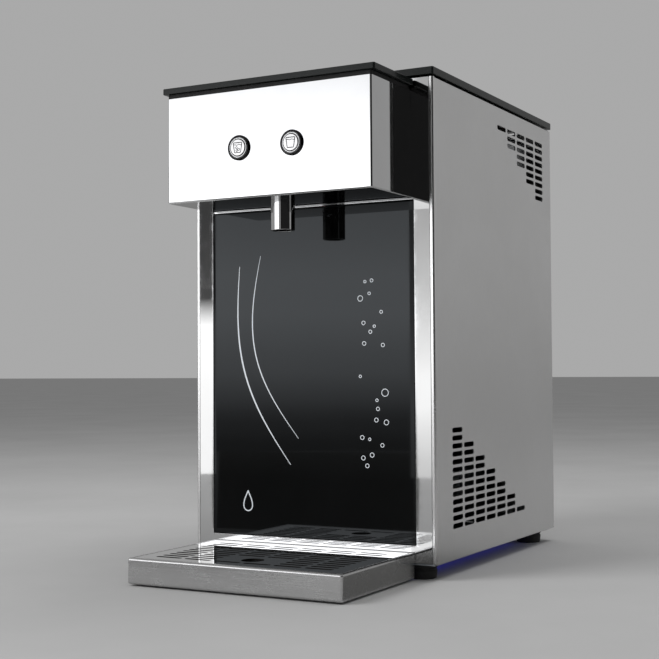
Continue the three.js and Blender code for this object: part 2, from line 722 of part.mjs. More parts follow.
function lightStrip() {
  const { x0, x1, front, rear, crossing } = STRIP;
  const [z0, z1] = [FOOT_HEIGHT - GAP - 2.4, FOOT_HEIGHT - GAP];
  const runs = SIDES.map(([, side]) => sideBox(side, x0, x1, front, rear, z0, z1));
  return join(box(-x0 - 1, x0 + 1, crossing, crossing + x1 - x0, z0, z1), ...runs);
}

add('light_strip', lightStrip(), MATERIALS.blueLight);

// ---------------------------------------------------------------- rear fittings

const WATER_X = -68;
const WATER_Z = 62;
const GAS_X = -104;
const GAS_Z = 62;
const STUB_THREAD = 6.6; // G 1/4 male thread, left plain
const MAINS_X = 100;
const MAINS_Z = 62;
const ROCKER_X = 62;
const ROCKER_Z = 62;
const KNOB_X = 0;
const KNOB_Z = 62;
const ROCKER_PIVOT = 3.2; // beyond the rear face
const ROCKER_TILT = 7; // degrees each way

add('rear_panel', rearPanel(), MATERIALS.brushedSteel);

// A bulkhead stub: hexagon outside, thread and barb either side, one blind bore.
function bulkheadStub(x, z) {
  const y0 = REAR_Y + GAP;
  const hex = prism(hexagon(z, x, 22), 'y', y0, y0 + 6);
  const outer = rod('y', z, x, STUB_THREAD, y0 + 5, REAR_Y + REAR_REACH, 16);
  const inner = rod('y', z, x, STUB_THREAD, REAR_Y - 14, y0 + 1, 16);
  const bore = rod('y', z, x, 1.9, REAR_Y + 4, REAR_Y + REAR_REACH + 1, 8);
  return cut(join(hex, outer, inner), bore);
}

add('water_inlet', bulkheadStub(WATER_X, WATER_Z), MATERIALS.brass);
add('gas_inlet', bulkheadStub(GAS_X, GAS_Z), MATERIALS.brass);

// Mains inlet: a flanged socket with three blades.
const SOCKET = { halfWidth: 11.5, halfHeight: 8, depth: 16 };

function mainsInlet() {
  const y0 = REAR_Y + GAP;
  const outline = roundedRectangle(MAINS_Z - 12, MAINS_Z + 12, MAINS_X - 16, MAINS_X + 16, 3);
  const flange = prism(outline, 'y', y0, y0 + 3, { segments: 2 });
  const shell = box(MAINS_X - 13.8, MAINS_X + 13.8, REAR_Y - 20, y0 + 1, MAINS_Z - 10.3, MAINS_Z + 10.3);
  const { halfWidth, halfHeight, depth } = SOCKET;
  const mouth = y0 + 3;
  const cavity = box(
    MAINS_X - halfWidth,
    MAINS_X + halfWidth,
    mouth - depth,
    mouth + 1,
    MAINS_Z - halfHeight,
    MAINS_Z + halfHeight,
  );
  const blades = [
    [0, 2.6],
    [-7, -2.6],
    [7, -2.6],
  ].map(([dx, dz]) =>
    box(
      MAINS_X + dx - 1,
      MAINS_X + dx + 1,
      mouth - depth - 1,
      mouth - 5,
      MAINS_Z + dz - 2,
      MAINS_Z + dz + 2,
    ),
  );
  return join(cut(join(flange, shell), cavity), ...blades);
}

function rockerFrame() {
  const y0 = REAR_Y + GAP;
  const outline = roundedRectangle(ROCKER_Z - 16, ROCKER_Z + 16, ROCKER_X - 12.5, ROCKER_X + 12.5, 2);
  const flange = prism(outline, 'y', y0, y0 + 2.2, { segments: 2 });
  const shell = box(ROCKER_X - 10.8, ROCKER_X + 10.8, REAR_Y - 22, y0 + 1, ROCKER_Z - 14.3, ROCKER_Z + 14.3);
  const well = box(ROCKER_X - 8.6, ROCKER_X + 8.6, REAR_Y - 8, y0 + 3, ROCKER_Z - 12.6, ROCKER_Z + 12.6);
  return cut(join(flange, shell), well);
}

// The rocker's section is a shallow V, stored tipped to its off side.
function rocker() {
  const half = 12;
  const section = new THREE.Shape();
  section.moveTo(-2.5, 1 - half);
  section.lineTo(1.8, -half);
  section.lineTo(0.6, 0);
  section.lineTo(1.8, half);
  section.lineTo(-2.5, half - 1);
  const tilt = THREE.MathUtils.degToRad(-ROCKER_TILT);
  const points = section.getPoints().map((point) => {
    point.rotateAround(new THREE.Vector2(), tilt);
    return point.add(new THREE.Vector2(REAR_Y + ROCKER_PIVOT, ROCKER_Z));
  });
  return prism(new THREE.Shape(points), 'x', ROCKER_X - 8.2, ROCKER_X + 8.2);
}

add('mains_inlet', mainsInlet(), MATERIALS.blackNylon);
add('rocker_frame', rockerFrame(), MATERIALS.blackNylon);
add('rocker', rocker(), MATERIALS.redTube);

// Thermostat: body behind the panel with a bushing through it, and a knob whose pointer rib is
// stored at the low end of its 270 degree sweep.
const KNOB_RADIUS = 17;
const KNOB_DEPTH = 14;
const KNOB_GAP = 0.8;

function thermostatBody() {
  const shell = box(KNOB_X - 18, KNOB_X + 18, REAR_INNER - 26, REAR_INNER - GAP, KNOB_Z - 18, KNOB_Z + 18);
  const bushing = rod('y', KNOB_Z, KNOB_X, 4.8, REAR_INNER - 2, REAR_Y + 0.4, 14);
  const spindle = rod('y', KNOB_Z, KNOB_X, 3, REAR_Y - 1, REAR_Y + 9, 12);
  return join(shell, bushing, spindle);
}

function thermostatKnob() {
  const y0 = REAR_Y + KNOB_GAP;
  const y1 = y0 + KNOB_DEPTH;
  const skirt = rod('y', KNOB_Z, KNOB_X, KNOB_RADIUS, y0, y0 + 4, 24);
  const grip = rod('y', KNOB_Z, KNOB_X, KNOB_RADIUS - 3.5, y0 + 3, y1, 20);
  const reach = KNOB_RADIUS - 1.5;
  const ribGeometry = new THREE.BoxGeometry(2.4, KNOB_DEPTH, reach);
  ribGeometry.translate(0, y0 + 1 + KNOB_DEPTH / 2, reach / 2).rotateY(THREE.MathUtils.degToRad(135));
  const rib = solid(ribGeometry.translate(KNOB_X, 0, KNOB_Z));
  const socket = rod('y', KNOB_Z, KNOB_X, 3 + GAP, y0 - 1, REAR_Y + 10, 12);
  return cut(join(skirt, grip, rib), socket);
}

add('thermostat_body', thermostatBody(), MATERIALS.zincSteel);
add('thermostat_knob', thermostatKnob(), MATERIALS.blackNylon);

// ---------------------------------------------------------------- cooling and carbonating

const COMPRESSOR = { x: -60, y: 150, radius: 58, top: 168 };

function compressor() {
  const { x, y, radius, top } = COMPRESSOR;
  const z0 = BASE_TOP + GAP;
  const profile = [
    [0, z0 + 8],
    [radius * 0.75, z0 + 8],
    [radius, z0 + 26],
    [radius, top - 34],
    [radius * 0.8, top - 10],
    [radius * 0.35, top],
    [0, top],
  ];
  const pot = turned(profile, 20, 'z', x, y);
  const seam = rod('z', x, y, radius + 2, z0 + 58, z0 + 63, 24);
  const feet = [-1, 1].map((dx) => box(x + dx * 50 - 12, x + dx * 50 + 12, y - 45, y + 45, z0, z0 + 12));
  const terminalBox = box(x + radius - 6, x + radius + 22, y - 22, y + 22, z0 + 70, z0 + 116);
  return join(pot, seam, ...feet, terminalBox);
}

const FINS = { count: 12, pitch: 18 };

function condenser() {
  const [y0, y1] = [FRONT_Y + 22, FRONT_Y + 66];
  const [z0, z1] = [BASE_TOP + 4, SHELF_Z - 8];
  const core = box(-104, 104, y0 + 17, y0 + 27, z0, z1);
  const fins = Array.from({ length: FINS.count }, (_, i) => {
    const x = (i - (FINS.count - 1) / 2) * FINS.pitch;
    return box(x - 0.7, x + 0.7, y0, y1, z0 + 2, z1 - 2);
  });
  return join(core, ...fins);
}

function fanFrame() {
  const half = FAN.frame / 2;
  const [y0, y1] = [FAN.y - FAN.depth / 2, FAN.y + FAN.depth / 2];
  const outline = roundedRectangle(FAN.z - half, FAN.z + half, FAN.x - half, FAN.x + half, 6);
  const block = prism(outline, 'y', y0, y1, { segments: 2 });
  const bore = rod('y', FAN.z, FAN.x, FAN.bore, y0 - 1, y1 + 1, 28);
  const hub = rod('y', FAN.z, FAN.x, FAN.hub - 2, y1 - 5, y1, 16);
  const spokes = [0, 1, 2, 3].map((quarter) => {
    const [from, to] = [FAN.hub - 6, FAN.bore + 3];
    const spoke = new THREE.BoxGeometry(4, 4, to - from).translate(0, y1 - 2, (from + to) / 2);
    spoke.rotateY(Math.PI / 4 + (quarter * Math.PI) / 2).translate(FAN.x, 0, FAN.z);
    return solid(spoke);
  });
  return join(cut(block, bore), hub, ...spokes);
}

function fanRotor() {
  const [y0, y1] = [FAN.y - FAN.depth / 2 + 1, FAN.y + FAN.depth / 2 - 6];
  const hub = rod('y', FAN.z, FAN.x, FAN.hub, y0, y1, 16);
  const blades = Array.from({ length: 7 }, (_, i) => {
    const [from, to] = [FAN.hub - 4, FAN.tip - 3];
    const blade = new THREE.BoxGeometry(22, 1.8, to - from).translate(0, 0, (from + to) / 2);
    blade.rotateZ(THREE.MathUtils.degToRad(32)).rotateY((i * 2 * Math.PI) / 7);
    return solid(blade.translate(FAN.x, (y0 + y1) / 2, FAN.z));
  });
  return join(hub, ...blades);
}

add('compressor', compressor(), MATERIALS.blackEnamel);
add('condenser', condenser(), MATERIALS.aluminium);
add('fan_frame', fanFrame(), MATERIALS.blackNylon);
add('fan_rotor', fanRotor(), MATERIALS.blackNylon);

// Mid shelf on two angle brackets fixed to the side panels.
const SHELF_X = 122;
const SHELF_FRONT_Y = FRONT_Y + 10;
const SHELF_REAR_Y = REAR_Y - 10;
const BRACKET_REAR_Y = REAR_Y - 68; // leaves the rear corners free for tubes
const SUCTION = { x: 67, y: 70, radius: 4 }; // where the suction line drops through the shelf

function midShelf() {
  const shelf = box(-SHELF_X, SHELF_X, SHELF_FRONT_Y, SHELF_REAR_Y, SHELF_Z, SHELF_Z + SHEET);
  return cut(shelf, rod('z', SUCTION.x, SUCTION.y, SUCTION.radius + 3, SHELF_Z - 1, SHELF_Z + 3, 12));
}

function shelfBracket(side) {
  const [z0, z1] = [SHELF_Z - GAP - 16, SHELF_Z - GAP];
  const [inner, outer] = [SHELF_X - 8, WALL_INNER - GAP];
  const drop = sideBox(side, outer - SHEET, outer, SHELF_FRONT_Y, BRACKET_REAR_Y, z0, z1);
  const ledge = sideBox(side, inner, outer - 0.5, SHELF_FRONT_Y, BRACKET_REAR_Y, z1 - SHEET, z1);
  return join(drop, ledge);
}

add('mid_shelf', midShelf(), MATERIALS.zincSteel);
SIDES.forEach(([name, side]) => {
  add(`shelf_bracket_${name}`, shelfBracket(side), MATERIALS.zincSteel);
});

// The cast cooling block is foamed in place; its four pipe stubs come out of the foam on top.
const JACKET = { x0: -92, x1: 62, y0: 84, y1: 216, top: 452, wall: 18 };
const DECK = SHELF_Z + SHEET + GAP;
const STUB = { y: 150, radius: 4, top: JACKET.top + 12 };
const STUB_X = [-51, -27, -3, 21];

function coolingBlock() {
  const inset = JACKET.wall + GAP;
  const [x0, x1] = [JACKET.x0 + inset, JACKET.x1 - inset];
  const [y0, y1] = [JACKET.y0 + inset, JACKET.y1 - inset];
  const top = JACKET.top - inset;
  const block = box(x0, x1, y0, y1, DECK + inset, top);
  const stubs = STUB_X.map((x) => rod('z', x, STUB.y, STUB.radius, top - 2, STUB.top, 10));
  return join(block, ...stubs);
}

function foamJacket() {
  const { x0, x1, y0, y1, wall, top } = JACKET;
  const shell = prism(roundedRectangle(x0, x1, y0, y1, 10), 'z', DECK, top, { segments: 4 });
  const hollow = box(x0 + wall, x1 - wall, y0 + wall, y1 - wall, DECK + wall, top - wall);
  const holes = STUB_X.map((x) => rod('z', x, STUB.y, STUB.radius + GAP, top - wall - 1, top + 1, 10));
  return cut(shell, hollow, ...holes);
}

add('cooling_block', coolingBlock(), MATERIALS.aluminium);
add('foam_jacket', foamJacket(), MATERIALS.foam);

const PUMP = { x: -64, z: DECK + 40, joint: -14 };
const PUMP_PORT_Y = PUMP.joint + 26;
const CARBONATOR = { x: 64, y: PUMP_PORT_Y, radius: 44, height: 226 };

function carbonator() {
  const { x, y, radius } = CARBONATOR;
  const top = DECK + CARBONATOR.height;
  const profile = [
    [0, DECK],
    [radius - 12, DECK],
    [radius, DECK + 16],
    [radius, top - 24],
    [radius * 0.7, top - 7],
    [0, top],
  ];
  const vessel = turned(profile, 20, 'z', x, y);
  const ports = [-16, 16].map((dy) => rod('z', x, y + dy, 5, top - 14, top + 14, 10));
  return join(vessel, ...ports);
}

// Pump: motor can on a saddle, with the brass head on its end.
function pumpMotor() {
  const body = rod('y', PUMP.z, PUMP.x, 34, FRONT_Y + 24, PUMP.joint - GAP, 20);
  const saddle = box(PUMP.x - 24, PUMP.x + 24, FRONT_Y + 34, PUMP.joint - 12, DECK, PUMP.z - 20);
  return join(body, saddle);
}

function pumpHead() {
  const body = rod('y', PUMP.z, PUMP.x, 24, PUMP.joint, PUMP.joint + 46, 16);
  const ports = rod('x', PUMP_PORT_Y, PUMP.z, 7, PUMP.x - 38, PUMP.x + 38, 12);
  return join(body, ports);
}

add('carbonator', carbonator(), MATERIALS.mirrorSteel);
add('pump_motor', pumpMotor(), MATERIALS.blackEnamel);
add('pump_head', pumpHead(), MATERIALS.brass);

// The power supply is a plain closed box beside the jacket.
const SUPPLY = { x: 98, y: 133, z: 421, width: 48, depth: 134, height: 98 };

function powerSupply() {
  const { x, y, z, width, depth, height } = SUPPLY;
  return box(x - width / 2, x + width / 2, y - depth / 2, y + depth / 2, z - height / 2, z + height / 2);
}

add('power_supply', powerSupply(), MATERIALS.aluminium);

// Control board on its edge in the head, with a relay, a transformer and a terminal block.
function controlBoard() {
  const y = FRONT_Y - 14;
  const board = box(44, 106, y, y + 1.6, 386, 470);
  const parts = [
    box(50, 66, y - 14, y + 0.5, 440, 462),
    box(72, 100, y - 16, y + 0.5, 430, 460),
    box(50, 100, y - 10, y + 0.5, 392, 404),
  ];
  return join(board, ...parts);
}

add('control_board', controlBoard(), MATERIALS.boardGreen);

// ---------------------------------------------------------------- tubes and lines

const TUBE_RADIUS = 4;
const CARBONATOR_TOP = DECK + CARBONATOR.height + 14;

// Each route starts and ends square to its port.
const waterTube = [
  [WATER_X, REAR_Y - 14 - GAP, WATER_Z],
  [WATER_X, REAR_Y - 20, WATER_Z],
  [-86, 212, 50],
  [-114, 208, 44],
  [-130, 188, 66],
  [-130, 186, 200],
  [-130, 150, PUMP.z],
  [-130, 50, PUMP.z],
  [-116, PUMP_PORT_Y, PUMP.z],
  [PUMP.x - 38 - GAP, PUMP_PORT_Y, PUMP.z],
];
const gasTube = [
  [GAS_X, REAR_Y - 14 - GAP, GAS_Z],
  [GAS_X, REAR_Y - 22, GAS_Z],
  [-124, 208, 90],
  [-129, 206, 140],
  [-129, 206, 320],
  [-126, 180, 440],
  [-108, 100, 466],
  [-40, 64, 466],
  [36, 52, 468],
  [CARBONATOR.x, CARBONATOR.y + 16, 458],
  [CARBONATOR.x, CARBONATOR.y + 16, CARBONATOR_TOP + GAP],
];
const sodaTube = [
  [CARBONATOR.x, CARBONATOR.y - 16, CARBONATOR_TOP + GAP],
  [CARBONATOR.x, CARBONATOR.y - 16, 457],
  [44, -40, 470],
  [-4, -80, 462],
  [-VALVE_X, -100, VALVE_Z + 20],
  [-VALVE_X, VALVE_STUB_Y + 8, VALVE_Z + 7],
  [-VALVE_X, VALVE_STUB_Y + GAP, VALVE_Z + 7],
];
const stillTube = [
  [STUB_X[1], STUB.y, STUB.top + GAP],
  [STUB_X[1], STUB.y, STUB.top + 9],
  [-22, 120, 484],
  [-14, 60, 484],
  [-4, 0, 472],
  [10, -60, 448],
  [VALVE_X, -100, VALVE_Z + 12],
  [VALVE_X, VALVE_STUB_Y + 8, VALVE_Z + 7],
  [VALVE_X, VALVE_STUB_Y + GAP, VALVE_Z + 7],
];
const pumpHose = [
  [PUMP.x + 38 + GAP, PUMP_PORT_Y, PUMP.z],
  [CARBONATOR.x - CARBONATOR.radius - GAP, PUMP_PORT_Y, PUMP.z],
];
const DISCHARGE_X = (1 - FINS.count / 2) * FINS.pitch; // midway between the last two fins
const dischargeLine = [
  [COMPRESSOR.x, COMPRESSOR.y - COMPRESSOR.radius - GAP, 120],
  [COMPRESSOR.x, COMPRESSOR.y - COMPRESSOR.radius - 10, 120],
  [DISCHARGE_X, 50, 140],
  [DISCHARGE_X, -50, 150],
  [DISCHARGE_X, FRONT_Y + 49 + GAP, 150],
];
const suctionLine = [
  [STUB_X[3], STUB.y, STUB.top + GAP],
  [STUB_X[3], STUB.y, STUB.top + 9],
  [34, 122, 482],
  [62, 78, 472],
  [SUCTION.x, SUCTION.y, 440],
  [SUCTION.x, SUCTION.y, SHELF_Z + 10],
  [SUCTION.x - 3, SUCTION.y + 2, SHELF_Z - 7],
  [40, 90, 186],
  [-40, 138, 186],
  [COMPRESSOR.x, COMPRESSOR.y, COMPRESSOR.top + 9],
  [COMPRESSOR.x, COMPRESSOR.y, COMPRESSOR.top + GAP],
];

add('water_tube', tube(waterTube, TUBE_RADIUS, 20), MATERIALS.blueTube);
add('gas_tube', tube(gasTube, 3, 24, 6), MATERIALS.redTube);
add('soda_tube', tube(sodaTube, TUBE_RADIUS, 18), MATERIALS.whiteNylon);
add('still_tube', tube(stillTube, TUBE_RADIUS, 18), MATERIALS.whiteNylon);
add('pump_hose', tube(pumpHose, TUBE_RADIUS, 1, 12), MATERIALS.whiteNylon);
add('discharge_line', tube(dischargeLine, 3, 16, 6), MATERIALS.copper);
add('suction_line', tube(suctionLine, SUCTION.radius, 28, 6), MATERIALS.copper);

export default dispenser;
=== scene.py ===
"""Looks for a countertop fountain soda dispenser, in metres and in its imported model's frame."""

import math
import random

import bmesh
import bpy
from mathutils import Matrix, Vector, geometry

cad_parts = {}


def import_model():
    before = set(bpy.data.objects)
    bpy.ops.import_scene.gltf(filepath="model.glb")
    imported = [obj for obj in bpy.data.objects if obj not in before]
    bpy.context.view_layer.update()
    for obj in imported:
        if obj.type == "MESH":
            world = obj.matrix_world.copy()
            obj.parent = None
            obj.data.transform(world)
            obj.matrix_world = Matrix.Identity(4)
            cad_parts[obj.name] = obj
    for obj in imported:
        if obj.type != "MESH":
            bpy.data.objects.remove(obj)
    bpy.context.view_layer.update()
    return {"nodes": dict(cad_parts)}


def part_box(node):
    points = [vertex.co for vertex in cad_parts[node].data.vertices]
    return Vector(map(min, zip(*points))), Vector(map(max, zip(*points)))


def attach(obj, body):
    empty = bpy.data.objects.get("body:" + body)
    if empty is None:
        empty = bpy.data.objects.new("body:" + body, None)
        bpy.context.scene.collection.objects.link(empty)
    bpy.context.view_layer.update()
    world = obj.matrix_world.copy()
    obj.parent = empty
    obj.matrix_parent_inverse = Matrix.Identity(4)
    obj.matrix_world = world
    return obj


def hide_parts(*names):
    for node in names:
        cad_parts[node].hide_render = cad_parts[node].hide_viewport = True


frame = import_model()

# ---------------------------------------------------------------- shared sizes

SHEET = 0.0015  # stainless sheet
EASE = 0.0003  # eased edge of cut sheet
BUTTON_SIDES = ("left", "right")
SLOT_LENGTH = 0.026
SLOT_HEIGHT = 0.005


def low_high(node):
    """A CAD node's box as two plain rows: (x0, y0, z0), (x1, y1, z1)."""
    low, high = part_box(node)
    return tuple(low), tuple(high)


def centre_of(node):
    """The x and z of a node's middle."""
    (x0, _, z0), (x1, _, z1) = low_high(node)
    return (x0 + x1) / 2, (z0 + z1) / 2


# ---------------------------------------------------------------- outlines and profiles

TINY = 0.00005


def rectangle(x0, x1, y0, y1, corner, steps=6):
    """A rectangle with round corners, as a function of its outward offset."""

    def at(offset):
        radius = max(corner + offset, TINY)
        left, right = x0 - offset + radius, x1 + offset - radius
        low, high = y0 - offset + radius, y1 + offset - radius
        centres = [(right, high), (left, high), (left, low), (right, low)]
        points = []
        for quarter, (x, y) in enumerate(centres):
            for step in range(steps + 1):
                angle = math.pi / 2 * (quarter + step / steps)
                point = (x + radius * math.cos(angle), y + radius * math.sin(angle))
                if not points or math.dist(point, points[-1]) > TINY / 100:
                    points.append(point)
        if math.dist(points[0], points[-1]) < TINY / 100:
            points.pop()
        return points

    return at


def stadium(x, y, length, width, steps=5):
    """A slot with round ends, longer along its first axis when length exceeds width."""
    corner = min(length, width) / 2
    return rectangle(x - length / 2, x + length / 2, y - width / 2, y + width / 2, corner, steps)


def circle(x, y, radius, steps=48):
    """A circle as a function of its outward offset."""

    def at(offset):
        turn = 2 * math.pi / steps
        size = radius + offset
        return [(x + size * math.cos(i * turn), y + size * math.sin(i * turn)) for i in range(steps)]

    return at


def quarter_arc(radius, steps):
    """(offset, height) rows that leave a flat face and turn up into a wall."""
    turns = [math.pi / 2 * i / steps for i in range(steps + 1)]
    return [(radius * (math.sin(t) - 1), radius * (1 - math.cos(t))) for t in turns]


def plate_rows(z0, z1, edge=EASE, steps=3):
    """Rows for a flat plate with both its edges eased."""
    low = [(offset, z0 + height) for offset, height in quarter_arc(edge, steps)]
    high = [(offset, z1 - height) for offset, height in reversed(quarter_arc(edge, steps))]
    return low + high


def opposite(rows):
    """The rows of a hole through the same plate."""
    return [(-offset, height) for offset, height in rows]


def softened(points, closed=False, steps=4):
    """A polyline whose (x, y, radius) corners are rounded."""
    count = len(points)
    result = []
    for i, (x, y, radius) in enumerate(points):
        at_end = not closed and i in (0, count - 1)
        if at_end or not radius:
            result.append((x, y))
            continue
        here = Vector((x, y))
        before = (Vector(points[i - 1][:2]) - here).normalized()
        after = (Vector(points[(i + 1) % count][:2]) - here).normalized()
        half = before.angle(after) / 2
        reach = radius / math.tan(half)
        centre = here + (before + after).normalized() * (radius / math.sin(half))
        start = here + before * reach - centre
        end = here + after * reach - centre
        sweep = start.angle_signed(end)
        for step in range(steps + 1):
            angle = -sweep * step / steps
            turned = Matrix.Rotation(angle, 2) @ start
            result.append(tuple(centre + turned))
    return result


# ---------------------------------------------------------------- mesh builders

PLACES = {
    "x": lambda u, v, w: (w, u, v),
    "y": lambda u, v, w: (u, w, v),
    "z": lambda u, v, w: (u, v, w),
}


def bridge(mesh, rings, closed=True, finish=0):
    """Quads between successive rings of vertices; finish picks one of the piece's materials."""
    for low, high in zip(rings, rings[1:]):
        count = len(low)
        for i in range(count if closed else count - 1):
            j = (i + 1) % count
            mesh.faces.new((low[i], low[j], high[j], high[i])).material_index = finish


def cap(mesh, outer, holes):
    """Closes a flat face inside one ring and round the convex holes in it."""
    loops = [outer, *holes]
    verts = [vert for loop in loops for vert in loop]
    flat = [Vector(vert.co.xyz) for vert in verts]
    spans = [max(p[i] for p in flat) - min(p[i] for p in flat) for i in range(3)]
    normal = spans.index(min(spans))
    keep = [i for i in range(3) if i != normal]
    points = [Vector((p[keep[0]], p[keep[1]])) for p in flat]
    edges, owner, start = [], [], 0
    for number, loop in enumerate(loops):
        edges += [(start + i, start + (i + 1) % len(loop)) for i in range(len(loop))]
        owner += [number] * len(loop)
        start += len(loop)
    cut = geometry.delaunay_2d_cdt(points, edges, [], 1, 1e-9)
    source = [origins[0] for origins in cut[3]]
    for face in cut[2]:
        corners = [source[i] for i in face]
        owners = {owner[i] for i in corners}
        if len(owners) == 1 and owners != {0}:
            continue
        mesh.faces.new([verts[i] for i in corners])


def formed(mesh, outline, rows, holes=(), hole_rows=(), axis="z", hole_finish=0):
    """Adds a closed body: the outline taken through rows of (offset, height), flat at both ends."""
    place = PLACES[axis]

    def walls(shape, levels, finish=0):
        rings = [[mesh.verts.new(place(u, v, level)) for u, v in shape(offset)] for offset, level in levels]
        bridge(mesh, rings, finish=finish)
        return rings[0], rings[-1]

    first, last = walls(outline, rows)
    ends = [walls(hole, hole_rows, hole_finish) for hole in holes]
    cap(mesh, first, [end[0] for end in ends])
    cap(mesh, last, [end[1] for end in ends])


def slab(mesh, x0, x1, y0, y1, z0, z1, edge=EASE):
    """Adds a block with eased edges."""
    formed(mesh, rectangle(x0, x1, y0, y1, edge * 1.5, 3), plate_rows(z0, z1, edge, 2))


def turned(mesh, profile, axis, a, b, steps=64):
    """Adds a turned body from (radius, height) rows, closed on itself or ending on the axis."""
    place = {
        "x": lambda r, t, h: (h, a + r * math.cos(t), b + r * math.sin(t)),
        "y": lambda r, t, h: (a + r * math.cos(t), h, b + r * math.sin(t)),
        "z": lambda r, t, h: (a + r * math.cos(t), b + r * math.sin(t), h),
    }[axis]
    on_axis = profile[0][0] == 0
    rings = []
    for radius, height in profile:
        if radius == 0:
            rings.append([mesh.verts.new(place(0, 0, height))])
        else:
            angles = [2 * math.pi * i / steps for i in range(steps)]
            rings.append([mesh.verts.new(place(radius, angle, height)) for angle in angles])
    pairs = list(zip(rings, rings[1:]))
    if not on_axis:
        pairs.append((rings[-1], rings[0]))
    for low, high in pairs:
        for i in range(steps):
            j = (i + 1) % steps
            corners = [low[i % len(low)], low[j % len(low)], high[j % len(high)], high[i % len(high)]]
            mesh.faces.new(list(dict.fromkeys(corners)))


def round_bar(mesh, radius, start, end, axis, a, b, steps=64):
    """Adds a plain round body, to cut a hole with."""
    turned(mesh, [(0, start), (radius, start), (radius, end), (0, end)], axis, a, b, steps)


def ribbon(mesh, points, width, front, back, closed=False):
    """Adds a flat line of even thickness along (x, z) points, between two y planes."""
    path = [Vector(point) for point in points]
    count = len(path)
    rings = []
    for i, point in enumerate(path):
        before = path[(i - 1) % count] if closed or i else point
        after = path[(i + 1) % count] if closed or i < count - 1 else point
        along = (after - before).normalized()
        size = width(i / (count - 1)) if callable(width) else width
        side = Vector((-along.y, along.x)) * size / 2
        low, high = point - side, point + side
        corners = [(low, front), (high, front), (high, back), (low, back)]
        rings.append([mesh.verts.new((p.x, y, p.y)) for p, y in corners])
    bridge(mesh, rings + rings[:1] if closed else rings)
    if not closed:
        mesh.faces.new(rings[0])
        mesh.faces.new(rings[-1])


SHARP = math.radians(32)  # edges sharper than this stay crisp


def piece(name, mesh, finish, replaces=(), body="root", slot=None, second=None):
    """Turns a bmesh into a finished piece that rides on a body.

    finish names its material; slot is not used; second is for its faces of finish 1.
    """
    bmesh.ops.recalc_face_normals(mesh, faces=mesh.faces)
    data = bpy.data.meshes.new(name)
    mesh.to_mesh(data)
    mesh.free()
    data.materials.append(MATERIALS[finish])
    if second:
        data.materials.append(MATERIALS[second])
    data.shade_smooth()
    data.set_sharp_from_angle(angle=SHARP)
    obj = bpy.data.objects.new(name, data)
    bpy.context.scene.collection.objects.link(obj)
    weighted = obj.modifiers.new("weighted", "WEIGHTED_NORMAL")
    weighted.keep_sharp = True
    weighted.weight = 100
    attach(obj, body)
    slot = slot or finish
    if replaces:
        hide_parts(*replaces)
    return obj


def carve(obj, *cutters):
    """Cuts simple bodies out of a piece; each cutter is a function that fills a bmesh."""
    for number, fill in enumerate(cutters):
        mesh = bmesh.new()
        fill(mesh)
        bmesh.ops.recalc_face_normals(mesh, faces=mesh.faces)
        data = bpy.data.meshes.new(f"{obj.name}_cutter_{number}")
        mesh.to_mesh(data)
        mesh.free()
        tool = bpy.data.objects.new(data.name, data)
        bpy.context.scene.collection.objects.link(tool)
        modifier = obj.modifiers.new("carve", "BOOLEAN")
        modifier.operation = "DIFFERENCE"
        modifier.solver = "EXACT"
        modifier.object = tool
        bpy.context.view_layer.objects.active = obj
        with bpy.context.temp_override(object=obj, active_object=obj):
            bpy.ops.object.modifier_move_to_index(modifier=modifier.name, index=0)
            bpy.ops.object.modifier_apply(modifier=modifier.name)
        bpy.data.objects.remove(tool)
    obj.data.set_sharp_from_angle(angle=SHARP)


# ---------------------------------------------------------------- materials


